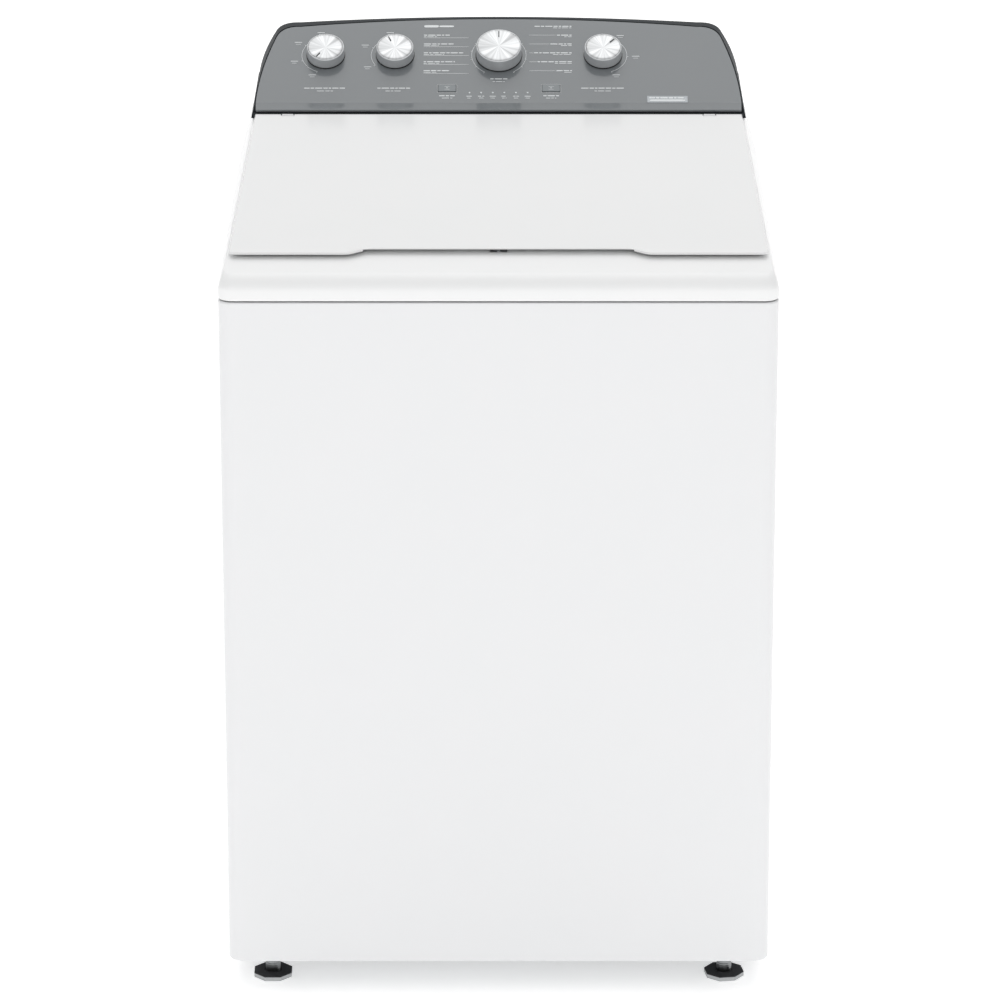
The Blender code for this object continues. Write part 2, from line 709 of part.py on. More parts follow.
def lamp_x(index):
    """Return the place across the panel of one indicator lamp."""
    return (index - (LAMP_COUNT - 1) / 2) * LAMP_PITCH


def build_controls(panel):
    """Build the knobs, buttons, switches, board and light guide on the panel."""
    board = block((0.404, 0.060, 0.0016), (-0.046, 0.0750, -0.0300))
    board = add_part("control_board", board, "board_green", parent=panel, smooth=False)
    switches = bmesh.new()
    bores = bmesh.new()
    for _, x, _, _ in KNOBS:
        block((0.022, 0.022, 0.0165), (x, KNOB_T, -0.0220), switches)
        rod(SHAFT_RADIUS + 0.0006, -0.0180, -0.0100, 12, (x, KNOB_T), bores)
    combine(board, add_cutter("rotary_switches", switches, panel), "UNION")
    combine(board, add_cutter("switch_bores", bores, panel), "DIFFERENCE")
    for name, x, radius, height in KNOBS:
        profile = [
            (0, height),
            (radius - 0.0016, height),
            (radius, height - 0.0012),
            (radius, 0.0030),
            (radius - 0.0030, 0.0012),
            (SHAFT_RADIUS, 0.0012),
            (SHAFT_RADIUS, -0.0170),
            (0, -0.0170),
        ]
        turned(name, profile, "spun_metal", 28, (x, KNOB_T, 0), panel)
    for name, x in BUTTONS:
        cap = block((BUTTON_SIZE[0], BUTTON_SIZE[1], 0.0060), (0, 0, -0.0020))
        cap = soften(cap, 0.0006)
        add_part(name, cap, "button_grey", (x, BUTTON_T, 0), panel, smooth=False)
    bar = block((0.086, 0.006, 0.006), (0, LAMP_T, -0.0062))
    bar = add_part("lamp_light_guide", bar, "lamp_clear", parent=panel, smooth=False)
    pins = bmesh.new()
    for index in range(LAMP_COUNT):
        rod(0.0011, -0.0050, -0.0002, 8, (lamp_x(index), LAMP_T), pins)
    combine(bar, add_cutter("lamp_pins", pins, panel), "UNION")


def build_water_path():
    """Build the inlet valve, fill hose and spout, the drain port and the power inlet."""
    valve = block((0.094, 0.036, 0.032), (0.2385, 0.3065, 1.0800))
    valve = soften(valve, 0.002)
    part = add_part("inlet_valve", valve, "grey_plastic", smooth=False)
    ports = bmesh.new()
    for x, z, radius in INLET_PORTS:
        cross_rod(radius, 0.0240, (x, 0.3300, z), ports, 16, "X")
    combine(part, add_cutter("valve_ports", ports), "UNION")
    bores = bmesh.new()
    for x, z, radius in INLET_PORTS:
        cross_rod(radius - 0.003, 0.0400, (x, 0.3300, z), bores, 16, "X")
    combine(part, add_cutter("valve_bores", bores), "DIFFERENCE")

    fill = [
        (0.2050, 0.3000, 1.0632),
        (0.2050, 0.2980, 1.0300),
        (0.1950, 0.2920, 1.0100),
        (0.1500, 0.2700, 0.9950),
        (0.0900, 0.2400, 0.9880),
        (0.0300, 0.2150, 0.9870),
        (0.0060, 0.2030, 0.9862),
        (0.0040, 0.1925, 0.9860),
    ]
    tube("fill_hose", fill, 0.0070, "rubber")
    spout = soften(block((0.050, 0.050, 0.012), (0, 0.1640, 0.9860)), 0.0015)
    add_part("water_spout", spout, "grey_plastic", smooth=False)

    for (x, z, radius), name, finish in (
        (DRAIN_PORT, "drain_port", "grey_plastic"),
        (POWER_PORT, "power_inlet_gland", "rubber"),
    ):
        profile = [
            (radius - 0.0030, 0.0000),
            (radius - 0.0030, 0.0240),
            (radius, 0.0240),
            (radius, 0.0118),
            (radius + 0.0030, 0.0118),
            (radius + 0.0030, 0.0090),
            (radius, 0.0090),
            (radius, 0.0000),
        ]
        port = turned(name, profile, finish, 16, (x, 0.3420, z), closed=True)
        port.rotation_euler = (math.pi / 2, 0, 0)

    drain = [
        (-0.1200, 0.3150, 1.0680),
        (-0.1200, 0.3090, 1.0666),
        (-0.1200, 0.3055, 1.0600),
        (-0.1200, 0.3040, 1.0450),
        (-0.1200, 0.3040, 0.9000),
        (-0.1200, 0.3050, 0.6000),
        (-0.1220, 0.3050, 0.3600),
        (-0.1280, 0.2950, 0.2900),
        (-0.1400, 0.2600, 0.2450),
        (-0.1500, 0.1900, 0.2250),
        (-0.1500, 0.1150, 0.2250),
    ]
    tube("drain_hose", drain, 0.0100, "rubber")


# --- Tub, basket and agitator -----------------------------------------------------------------


def build_tub():
    """Build the outer tub with its four lugs, and the ring on top of it."""
    inner = TUB_RADIUS - TUB_WALL
    floor = TUB_BOTTOM + TUB_WALL
    profile = [
        (0.0185, 0.2920),
        (0.0400, 0.2920),
        (0.0420, TUB_BOTTOM),
        (TUB_RADIUS - 0.0120, TUB_BOTTOM),
        (TUB_RADIUS, TUB_BOTTOM + 0.0120),
        (TUB_RADIUS, TUB_TOP - 0.0080),
        (0.2920, TUB_TOP - 0.0060),
        (0.2920, TUB_TOP),
        (inner, TUB_TOP),
        (inner, floor + 0.0110),
        (inner - 0.0110, floor),
        (0.0430, floor),
        (0.0400, 0.3045),
        (0.0185, 0.3045),
    ]
    tub = turned("outer_tub", profile, "tub_plastic", 36, closed=True)
    lugs = bmesh.new()
    holes = bmesh.new()
    for quarter in range(4):
        angle = math.radians(45 + 90 * quarter)
        turn = Matrix.Rotation(angle, 4, "Z")
        reach = math.hypot(ROD_PLACE, ROD_PLACE)
        centre = ((0.2815 + reach + 0.016) / 2, 0, LUG_BOTTOM + LUG_THICKNESS / 2)
        size = (reach + 0.016 - 0.2815, 0.046, LUG_THICKNESS)
        place = turn @ Matrix.Translation(centre) @ Matrix.Diagonal((*size, 1.0))
        bmesh.ops.create_cube(lugs, size=1.0, matrix=place)
        spot = (reach * math.cos(angle), reach * math.sin(angle))
        rod(0.0090, LUG_BOTTOM - 0.01, LUG_BOTTOM + 0.03, 12, spot, holes)
    combine(tub, add_cutter("tub_lugs", lugs), "UNION")
    combine(tub, add_cutter("lug_holes", holes), "DIFFERENCE")

    ring = [
        (0.2920, TUB_TOP + CLEARANCE),
        (0.2920, TUB_TOP + 0.0120),
        (0.2850, TUB_TOP + 0.0170),
        (0.2280, TUB_TOP + 0.0250),
        (0.2280, TUB_TOP + 0.0080),
        (0.2310, TUB_TOP + 0.0080),
        (0.2310, TUB_TOP + 0.0215),
        (0.2835, TUB_TOP + 0.0140),
        (0.2890, TUB_TOP + 0.0105),
        (0.2890, TUB_TOP + CLEARANCE),
    ]
    turned("tub_ring", ring, "tub_plastic", 36, closed=True)


def build_basket():
    """Build the wash basket, its balance ring, drive hub and spin tube."""
    profile = [
        (0.0200, 0.3265),
        (0.0600, 0.3265),
        (0.0700, BASKET_BOTTOM),
        (0.2380, BASKET_BOTTOM),
        (BASKET_RADIUS, BASKET_BOTTOM + 0.0180),
        (BASKET_RADIUS, BASKET_TOP),
        (BASKET_RADIUS - 0.0020, BASKET_TOP),
        (BASKET_RADIUS - 0.0020, BASKET_BOTTOM + 0.0188),
        (0.2372, BASKET_BOTTOM + 0.0020),
        (0.0692, BASKET_BOTTOM + 0.0020),
        (0.0592, 0.3285),
        (0.0200, 0.3285),
    ]
    turned("wash_basket", profile, "stainless", 36, closed=True)
    ring = [
        (0.2420, BASKET_TOP + CLEARANCE),
        (0.2620, BASKET_TOP + CLEARANCE),
        (0.2640, BASKET_TOP + 0.0060),
        (0.2600, BASKET_TOP + 0.0320),
        (0.2440, BASKET_TOP + 0.0320),
        (0.2380, BASKET_TOP + 0.0240),
        (0.2380, BASKET_TOP + 0.0060),
    ]
    turned("balance_ring", ring, "grey_plastic", 36, closed=True)
    hub = [
        (0.0078, 0.2300),
        (0.0130, 0.2300),
        (0.0130, 0.3060),
        (0.0500, 0.3060),
        (0.0560, 0.3120),
        (0.0560, 0.3260),
        (0.0130, 0.3260),
        (0.0130, 0.3400),
        (0.0078, 0.3400),
    ]
    turned("basket_hub", hub, "aluminium", 20, closed=True)


def build_agitator():
    """Build the agitator with its four fins, its cap and the drive shaft."""
    profile = [
        (0, 0.6900),
        (0.0340, 0.6900),
        (0.0370, 0.5600),
        (0.0450, 0.4400),
        (0.0620, 0.3950),
        (0.1000, 0.3700),
        (0.1550, 0.3540),
        (0.1560, 0.3480),
        (0.1500, 0.3480),
        (0.0980, 0.3640),
        (0.0560, 0.3880),
        (0.0300, 0.3960),
        (0.0200, 0.3960),
        (0.0200, 0.3430),
        (0.0068, 0.3430),
        (0.0068, 0.4240),
        (0, 0.4240),
    ]
    agitator = turned("agitator", profile, "agitator_plastic", 28)
    fins = bmesh.new()
    fin = [
        (0.0300, 0.5900),
        (0.0560, 0.5700),
        (0.0800, 0.4700),
        (0.1460, 0.3900),
        (0.1480, 0.3575),
        (0.0980, 0.3680),
        (0.0560, 0.3950),
        (0.0300, 0.4600),
    ]
    for quarter in range(4):
        turn = Matrix.Rotation(math.tau * quarter / 4, 4, "Z")
        low = [fins.verts.new(turn @ Vector((r, -0.003, z))) for r, z in fin]
        high = [fins.verts.new(turn @ Vector((r, 0.003, z))) for r, z in fin]
        fins.faces.new(low)
        fins.faces.new(high[::-1])
        bridge_rings(fins, [low, high])
    combine(agitator, add_cutter("agitator_fins", fins), "UNION")
    cap = [
        (0, 0.7350),
        (0.0260, 0.7320),
        (0.0345, 0.7200),
        (0.0345, 0.6905),
        (0, 0.6905),
    ]
    turned("agitator_cap", cap, "blue_plastic", 24)
    shaft = [
        (0, 0.4200),
        (0.0060, 0.4200),
        (0.0060, 0.1240),
        (0, 0.1240),
    ]
    turned("drive_shaft", shaft, "steel", 16)


def build_suspension():
    """Build the four rods with their cups, and the springs between cups and tub lugs."""
    for side, hand in ((-1, "left"), (1, "right")):
        for end, name in ((-1, "front"), (1, "rear")):
            place = (side * ROD_PLACE, end * ROD_PLACE, 0)
            profile = [
                (0, 0.9220),
                (0.0080, 0.9205),
                (0.0130, 0.9140),
                (0.0130, 0.9090),
                (0.0040, 0.9088),
                (0.0040, CUP_TOP),
                (0.0210, CUP_TOP - 0.0005),
                (0.0210, CUP_TOP - 0.0080),
                (0.0070, CUP_TOP - 0.0140),
                (0, CUP_TOP - 0.0140),
            ]
            turned(f"suspension_rod_{name}_{hand}", profile, "steel", 10, place)
            turns = 4
            steps = 8
            low = CUP_TOP + 0.0030
            high = LUG_BOTTOM - 0.0030
            points = []
            for step in range(turns * steps + 1):
                angle = math.tau * step / steps
                height = low + (high - low) * step / (turns * steps)
                x = place[0] + 0.0155 * math.cos(angle)
                y = place[1] + 0.0155 * math.sin(angle)
                points.append((x, y, height))
            tube(f"suspension_spring_{name}_{hand}", points, 0.0020, "steel", sides=0)


# --- Drive ------------------------------------------------------------------------------------


def build_drive():
    """Build the drive plate, gearcase, motor, pulleys, belt, pump and shift actuator."""
    outline = [(-0.200, -0.130), (0.235, -0.130), (0.235, 0.020), (0.120, 0.140), (-0.200, 0.140)]
    plate = add_part("drive_plate", prism(outline, 0.2870, 0.2900), "galvanised", smooth=False)
    hole = rod(0.0450, 0.2800, 0.3000, 20)
    combine(plate, add_cutter("plate_hole", hole), "DIFFERENCE")

    gearcase = [
        (0.0140, 0.2865),
        (0.0560, 0.2865),
        (0.0560, 0.2780),
        (0.0500, 0.2740),
        (0.0500, 0.2000),
        (0.0300, 0.1840),
        (0.0300, 0.1560),
        (0.0140, 0.1560),
    ]
    case = turned("gearcase", gearcase, "aluminium", 24, closed=True)
    actuator = soften(block((0.044, 0.060, 0.040), (0, 0.0740, 0.2300)), 0.002)
    combine(case, add_cutter("shift_actuator", actuator), "UNION")
    motor = [
        (0, 0.2865),
        (0.0300, 0.2865),
        (0.0580, 0.2780),
        (0.0600, 0.2740),
        (0.0600, 0.1820),
        (0.0560, 0.1740),
        (0.0200, 0.1650),
        (0.0058, 0.1650),
        (0.0058, 0.1900),
        (0, 0.1900),
    ]
    turned("motor", motor, "grey_plastic", 24, (MOTOR_X, MOTOR_Y, 0))

    groove = 0.0060
    for name, radius, bore, place, finish in (
        ("drive_pulley", DRIVE_PULLEY_RADIUS, 0.0064, (0, 0, 0), "aluminium"),
        ("motor_pulley", MOTOR_PULLEY_RADIUS, 0.0, (MOTOR_X, MOTOR_Y, 0), "steel"),
    ):
        rim = [
            (radius, PULLEY_TOP),
            (radius, PULLEY_TOP - 0.0030),
            (radius - groove, PULLEY_TOP - 0.0050),
            (radius - groove, PULLEY_BOTTOM + 0.0050),
            (radius, PULLEY_BOTTOM + 0.0030),
            (radius, PULLEY_BOTTOM),
        ]
        if bore:
            web = [(0.0200, PULLEY_BOTTOM), (bore, PULLEY_BOTTOM), (bore, PULLEY_TOP), (0.0200, PULLEY_TOP)]
            turned(name, rim + web, finish, 28, place, closed=True)
        else:
            shaft = [(0, 0.1850), (0.0050, 0.1850), (0.0050, PULLEY_TOP)]
            turned(name, shaft + rim + [(0, PULLEY_BOTTOM)], finish, 20, place)

    build_belt(groove)

    pump = [
        (0, 0.2860),
        (0.0340, 0.2860),
        (0.0380, 0.2800),
        (0.0380, 0.2100),
        (0.0300, 0.2020),
        (0, 0.2020),
    ]
    pump_part = turned("drain_pump", pump, "grey_plastic", 20, (-0.150, 0.060, 0))
    neck = block((0.062, 0.020, 0.020), (-0.206, 0.060, 0.2420))
    combine(pump_part, add_cutter("pump_neck", neck), "UNION")
    riser = rod(0.0094, 0.2400, 0.2960, 12, (-0.226, 0.060))
    combine(pump_part, add_cutter("pump_riser", riser), "UNION")


def build_belt(groove):
    """Build the belt round both pulleys as one closed band."""
    centre = Vector((MOTOR_X, MOTOR_Y))
    span = centre.length
    heading = math.degrees(math.atan2(MOTOR_Y, MOTOR_X))
    loops = []
    for extra in (0.0006, 0.0046):
        large = DRIVE_PULLEY_RADIUS - groove + extra
        small = MOTOR_PULLEY_RADIUS - groove + extra
        lean = math.degrees(math.acos((large - small) / span))
        loop = arc((0, 0), large, heading + lean, heading + 360 - lean, 22)
        loop += arc(centre, small, heading - lean, heading + lean, 8)
        loops.append(loop)
    bm = bmesh.new()
    rings = []
    for loop, z in ((loops[0], 0.1345), (loops[1], 0.1345), (loops[1], 0.1395), (loops[0], 0.1395)):
        rings.append([bm.verts.new((x, y, z)) for x, y in loop])
    bridge_rings(bm, rings + [rings[0]])
    add_part("drive_belt", bm, "rubber")


clear_scene()
PARTS = make_collection("top_load_washer")
CUTTERS = make_collection("cutters")
build_cabinet()
build_rails()
build_deck()
build_lid()
build_lid_lock()
build_console_housing()
PANEL_FRAME = add_empty("panel_frame", (0, PANEL_FOOT_Y, PANEL_FOOT_Z), PANEL_SLOPE)
build_fascia(PANEL_FRAME)
build_controls(PANEL_FRAME)
build_water_path()
build_tub()
build_basket()
build_agitator()
build_suspension()
build_drive()
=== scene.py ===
"""Top-load washing machine: the visible shells, controls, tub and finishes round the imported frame."""

from __future__ import annotations

import json
import logging
import math
from contextlib import contextmanager
from dataclasses import dataclass, field
from enum import Enum
from typing import Callable, Iterator, Sequence

import bmesh
import bpy
from mathutils import Matrix, Vector


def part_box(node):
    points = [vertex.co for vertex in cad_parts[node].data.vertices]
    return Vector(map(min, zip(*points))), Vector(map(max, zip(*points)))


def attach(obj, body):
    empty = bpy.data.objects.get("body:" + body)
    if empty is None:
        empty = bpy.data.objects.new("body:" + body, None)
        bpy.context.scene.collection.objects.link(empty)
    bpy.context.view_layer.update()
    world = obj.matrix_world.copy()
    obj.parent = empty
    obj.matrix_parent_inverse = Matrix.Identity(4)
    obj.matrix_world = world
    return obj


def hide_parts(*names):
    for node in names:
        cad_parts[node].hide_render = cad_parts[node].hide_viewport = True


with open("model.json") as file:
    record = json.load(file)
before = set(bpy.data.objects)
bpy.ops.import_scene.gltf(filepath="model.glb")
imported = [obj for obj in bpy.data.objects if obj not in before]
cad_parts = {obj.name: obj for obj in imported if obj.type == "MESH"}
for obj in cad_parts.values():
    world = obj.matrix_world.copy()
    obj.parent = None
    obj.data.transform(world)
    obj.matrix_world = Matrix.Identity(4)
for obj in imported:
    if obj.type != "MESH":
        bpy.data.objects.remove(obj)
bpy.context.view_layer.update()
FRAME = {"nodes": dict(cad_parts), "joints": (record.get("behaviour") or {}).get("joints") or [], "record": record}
JOINTS = {joint["name"]: joint for joint in FRAME["joints"]}
LOG = logging.getLogger("washer")

Point = tuple[float, float]
Size = tuple[float, float, float]
Mark = tuple[float, float, float, float]
Rule = Callable[[Vector, Vector], bool]

# How closely a normal or an edge follows an axis, as a cosine, to count as along it
ALIGNED = 0.9
# Points nearer than this are one point
MERGE_DISTANCE = 0.00001
# The slope of the deck's top and of the lid that lies on it
TOP_SLOPE = math.radians(7.08)
# Turns a pattern's size in millimetres to cells in a metre
MM_PER_M = 1000
# Patches of slow colour drift in a metre: each is about a hand's breadth
DRIFT_SCALE = 9.0
BUMP_STRENGTH = 0.6
HANDS = ("left", "right")
BUTTONS = ("button_start", "button_extra")
# Each knob with the angle its pointer shows, in degrees clockwise from the top
KNOB_POINTERS = {
    "knob_soil": 215.0,
    "knob_temperature": -25.0,
    "knob_cycle": 0.0,
    "knob_rinse": 45.0,
}


# --- Finishes ---------------------------------------------------------------------------------


class Texture(Enum):
    """How a surface was made, which decides the pattern its material carries."""

    MOULDED = "moulded"
    ENAMEL = "enamel"
    BRUSHED = "brushed"
    SPANGLE = "spangle"
    CAST = "cast"
    THREAD = "thread"
    SPUN = "spun"


def linear(code: str) -> tuple[float, float, float, float]:
    """Turn an sRGB hex value into linear colour.

    Args:
        code: Six hex digits.

    Returns:
        The linear red, green and blue, and an alpha of 1.
    """
    values = [int(code[place : place + 2], 16) / 255 for place in (0, 2, 4)]
    red, green, blue = (v / 12.92 if v <= 0.04045 else ((v + 0.055) / 1.055) ** 2.4 for v in values)
    return red, green, blue, 1.0


def add_node(
    tree: bpy.types.NodeTree, kind: str, settings: dict | None = None, links: dict | None = None
) -> bpy.types.Node:
    """Add a node with its settings and its incoming links.

    Args:
        tree: The material's node tree.
        kind: The node's type.
        settings: Socket or property names with their values; a number names a socket by index.
        links: Socket names or indices with the output sockets that feed them.

    Returns:
        The new node.
    """
    node = tree.nodes.new(kind)
    for name, value in (settings or {}).items():
        if isinstance(name, int) or name in node.inputs:
            node.inputs[name].default_value = value
        else:
            setattr(node, name, value)
    for name, source in (links or {}).items():
        tree.links.new(source, node.inputs[name])
    return node


@dataclass(frozen=True)
class Finish:
    """One real surface: its colours, its gloss, and the pattern its making left.

    The grain is the pattern's size in millimetres and the relief its depth. The tint is the
    colour that the surface drifts to, over a hand's breadth.
    """

    name: str
    colour: str
    tint: str
    roughness: float
    texture: Texture = Texture.MOULDED
    grain_mm: float = 1.0
    relief_mm: float = 0.02
    metallic: float = 0.0
    ior: float = 1.5
    coat: float = 0.0
    coat_roughness: float = 0.1
    sway: float = 0.05
    glow: float = 0.0
    stretch: tuple[float, float, float] = (1.0, 1.0, 1.0)
    anisotropy: float = 0.0

    def build(self) -> bpy.types.Material:
        """Return the material, made once and then shared."""
        made = bpy.data.materials.get(self.name)
        return made if made else self._make()

    def _make(self) -> bpy.types.Material:
        """Make the node tree: grain to bump, a slow drift to colour, and both to roughness. On spun faces the
        colour also carries painted wedges of highlight and shade.

        Returns:
            The new material.
        """
        material = bpy.data.materials.new(self.name)
        material.use_nodes = True
        tree = material.node_tree
        shader = tree.nodes["Principled BSDF"]
        settings = {
            "Metallic": self.metallic,
            "Coat Weight": self.coat,
            "Coat Roughness": self.coat_roughness,
        }
        if not self.metallic:
            settings["IOR"] = self.ior
        if self.anisotropy:
            settings["Anisotropic"] = self.anisotropy
        if self.glow:
            settings.update({"Emission Color": linear(self.colour), "Emission Strength": self.glow})
        for socket, value in settings.items():
            shader.inputs[socket].default_value = value
        place = add_node(tree, "ShaderNodeTexCoord")
        mapped = add_node(
            tree, "ShaderNodeMapping", {"Scale": self.stretch}, {"Vector": place.outputs["Object"]}
        )
        grain = self._grain(tree, mapped.outputs["Vector"], place)
        drift = add_node(
            tree,
            "ShaderNodeTexNoise",
            {"Scale": DRIFT_SCALE, "Detail": 2.0, "Roughness": 0.5},
            {"Vector": place.outputs["Object"]},
        )
        blend = add_node(
            tree,
            "ShaderNodeMix",
            {"data_type": "RGBA", 6: linear(self.colour), 7: linear(self.tint)},
            {0: drift.outputs["Fac"]},
        )
        colour = blend.outputs[2]
        # On spun faces the colour is darkened in painted wedges of highlight and shade; on spangle it is the
        # crystals' own tone
        if self.texture in (Texture.SPANGLE, Texture.SPUN):
            source = self._painted_glints(tree, place) if self.texture is Texture.SPUN else grain
            low = 0.55 if self.texture is Texture.SPUN else 0.93
            shade = add_node(
                tree,
                "ShaderNodeMapRange",
                {"From Min": 0.3, "From Max": 0.6, "To Min": low, "To Max": 1.03},
                {"Value": source},
            )
            colour = add_node(
                tree,
                "ShaderNodeMix",
                {"data_type": "RGBA", "blend_type": "MULTIPLY", 0: 1.0},
                {6: colour, 7: shade.outputs[0]},
            ).outputs[2]
        tree.links.new(colour, shader.inputs["Base Color"])
        gloss = add_node(
            tree,
            "ShaderNodeMapRange",
            {"To Min": max(0.02, self.roughness - self.sway), "To Max": self.roughness + self.sway},
            {"Value": grain},
        )
        tree.links.new(gloss.outputs[0], shader.inputs["Roughness"])
        bump = add_node(
            tree,
            "ShaderNodeBump",
            {"Strength": BUMP_STRENGTH, "Distance": self.relief_mm / MM_PER_M},
            {"Height": grain},
        )
        tree.links.new(bump.outputs["Normal"], shader.inputs["Normal"])
        if self.anisotropy:
            tangent = add_node(tree, "ShaderNodeTangent", {"direction_type": "UV_MAP", "uv_map": "lathe"})
            tree.links.new(tangent.outputs["Tangent"], shader.inputs["Tangent"])
        return material

    def _painted_glints(self, tree: bpy.types.NodeTree, place: bpy.types.Node) -> bpy.types.NodeSocket:
        """Add painted wedges of highlight and shade, fanning out from a turned face's middle, for its colour to
        carry.
        """
        return self._wound_noise(tree, place, (17.0, 0.12, 1.0), 2.0)

    def _wound_noise(
        self, tree: bpy.types.NodeTree, place: bpy.types.Node, stretch: Size, detail: float
    ) -> bpy.types.NodeSocket:
        """Add a noise on the piece's own map, stretched round and along the radius.

        Args:
            tree: The material's node tree.
            place: The coordinates.
            stretch: The map's scale round the axis, along the radius and across the sheet.
            detail: The noise's detail.

        Returns:
            The socket that holds the noise.
        """
        wound = add_node(tree, "ShaderNodeMapping", {"Scale": stretch}, {"Vector": place.outputs["UV"]})
        noise = add_node(
            tree, "ShaderNodeTexNoise", {"Scale": 1.0, "Detail": detail}, {"Vector": wound.outputs["Vector"]}
        )
        return noise.outputs["Fac"]

    def _grain(
        self, tree: bpy.types.NodeTree, vector: bpy.types.NodeSocket, place: bpy.types.Node
    ) -> bpy.types.NodeSocket:
        """Add the pattern that the surface's making left.

        Args:
            tree: The material's node tree.
            vector: Where the pattern is read, with its stretch.
            place: The coordinates, for a pattern that follows the piece's own map.

        Returns:
            The socket that holds the pattern, from 0 to 1.
        """
        scale = MM_PER_M / self.grain_mm
        if self.texture is Texture.SPANGLE:
            cells = add_node(tree, "ShaderNodeTexVoronoi", {"Scale": scale}, {"Vector": vector})
            split = add_node(tree, "ShaderNodeSeparateColor", links={"Color": cells.outputs["Color"]})
            return split.outputs["Red"]
        if self.texture is Texture.THREAD:
            settings = {"wave_type": "BANDS", "bands_direction": "Z", "Scale": scale / math.tau}
            wave = add_node(tree, "ShaderNodeTexWave", settings, {"Vector": vector})
            return wave.outputs["Fac"]
        if self.texture is Texture.SPUN:
            return self._wound_noise(tree, place, (26.0, 0.5, 1.0), 3.0)
        detail = 3.0 if self.texture is Texture.CAST else 1.0
        noise = add_node(tree, "ShaderNodeTexNoise", {"Scale": scale, "Detail": detail}, {"Vector": vector})
        return noise.outputs["Fac"]


# Porcelain-look enamel baked on steel: a hard gloss with the faint ripple of sprayed powder
ENAMEL = Finish(
    "white_enamel_on_steel", "EFEFF0", "EDEEEF", 0.30, Texture.ENAMEL, 9.0, 0.0008, coat=0.2, sway=0.01
)
# Injection-moulded ABS of the deck and its liner: a little softer than the enamel
WHITE_ABS = Finish("white_moulded_abs", "F8F8F8", "F5F6F6", 0.32, Texture.MOULDED, 0.8, 0.004)
# The lid's glossy moulding, which mirrors the knobs faintly
LID_ABS = Finish("white_gloss_lid", "F3F3F3", "F0F1F1", 0.20, Texture.ENAMEL, 6.0, 0.002, coat=0.4)
# Dark shell round the console: fine spark-eroded grain
CHARCOAL_ABS = Finish("charcoal_grained_abs", "303437", "2C3033", 0.60, Texture.MOULDED, 0.7, 0.01, ior=1.3)
# Printed and lacquered face of the console
FASCIA = Finish(
    "grey_lacquered_fascia",
    "6A6F72", "676C6F", 0.34, Texture.MOULDED, 0.5, 0.001, coat=1.0, coat_roughness=0.03,
)
# Turned faces of the knobs: bright aluminium foil with grooves round the axis, with painted wedge highlights in
# its colour
SPUN_FACE = Finish(
    "spun_aluminium_face",
    "DCDDDE", "CFD1D2", 0.30, Texture.SPUN, 0.3, 0.006, 1.0, sway=0.10, anisotropy=0.75,
)
# Plated flank of the knobs
SATIN_FLANK = Finish("satin_plated_flank", "D9DBDD", "CFD1D3", 0.30, Texture.MOULDED, 0.4, 0.003, 0.55)
# Black ring under the knobs: painted shade of the gap between knob and panel
GAP_SHADE_BLACK = Finish("black_painted_gap_shade", "17191A", "1B1D1E", 0.5, Texture.MOULDED, 0.6, 0.01)
BUTTON_ABS = Finish("grey_moulded_button", "767C7F", "73797C", 0.34, Texture.MOULDED, 0.4, 0.002, coat=0.6)
# Screen-printed legend
INK = Finish("white_printed_ink", "E6E9EA", "DFE3E4", 0.55, Texture.MOULDED, 0.3, 0.003)
BADGE_FOIL = Finish(
    "brushed_foil_badge",
    "A9ADB0", "A0A4A7", 0.42, Texture.BRUSHED, 0.5, 0.004, 1.0, stretch=(0.04, 1.0, 1.0),
)
# Hot-dip zinc on mild steel: crystals about a finger wide
ZINC = Finish("galvanised_steel", "B0B4B6", "A6AAAC", 0.46, Texture.SPANGLE, 5.0, 0.002, 0.85, sway=0.05)
STEEL = Finish(
    "bright_drawn_steel",
    "C4C6C8", "B6B8BA", 0.30, Texture.BRUSHED, 0.6, 0.008, 1.0, stretch=(1.0, 1.0, 0.05),
)
THREADED = Finish("zinc_plated_thread", "A9ABAC", "9C9E9F", 0.38, Texture.THREAD, 1.5, 0.4, 1.0)
SCREW_ZINC = Finish("zinc_plated_screw", "BEC1C3", "B0B3B5", 0.33, Texture.CAST, 0.5, 0.01, 1.0)
STAINLESS = Finish(
    "brushed_stainless", "D3D5D6", "C6C9CA", 0.24, Texture.BRUSHED, 0.8, 0.006, 1.0, stretch=(1.0, 1.0, 0.04)
)
CAST_ALUMINIUM = Finish("die_cast_aluminium", "BDBFC1", "ADB0B2", 0.45, Texture.CAST, 0.9, 0.05, 0.95)
TUB_PP = Finish("glass_filled_polypropylene", "CBD0D4", "C1C7CC", 0.50, Texture.CAST, 1.2, 0.03)
GREY_PP = Finish("grey_polypropylene", "A4A9AC", "9BA0A3", 0.48, Texture.MOULDED, 0.9, 0.02)
AGITATOR_PP = Finish("pale_grey_polypropylene", "D4D9DE", "CCD2D8", 0.36, Texture.MOULDED, 0.8, 0.01)
CAP_PP = Finish("blue_moulded_cap", "4F77AE", "466CA2", 0.30, Texture.MOULDED, 0.6, 0.008, coat=0.2)
RUBBER = Finish("black_rubber", "2B2C2E", "333436", 0.72, Texture.CAST, 0.8, 0.05)
# Light grey of the front feet's flange side as it looks lit; their tops take black rubber as painted shade
PAD_RUBBER = Finish("grey_foot_rubber", "BFC1C2", "B4B6B7", 0.62, Texture.CAST, 0.9, 0.05)
BOARD = Finish("solder_resist", "1E5A35", "1A4F2E", 0.40, Texture.MOULDED, 1.5, 0.02)
LENS = Finish("clear_acrylic_lens", "E6EBEC", "DDE3E4", 0.12, Texture.MOULDED, 0.5, 0.002, ior=1.49)
MOTOR_PAINT = Finish("grey_motor_paint", "85898C", "7B7F82", 0.42, Texture.CAST, 1.0, 0.02)
# A pale floor that glows a little, so that it stays as light as the sky behind it
FLOOR_PAINT = Finish("white_studio_floor", "FFFFFF", "FEFEFE", 0.95, Texture.CAST, 40.0, 0.01, glow=0.45)


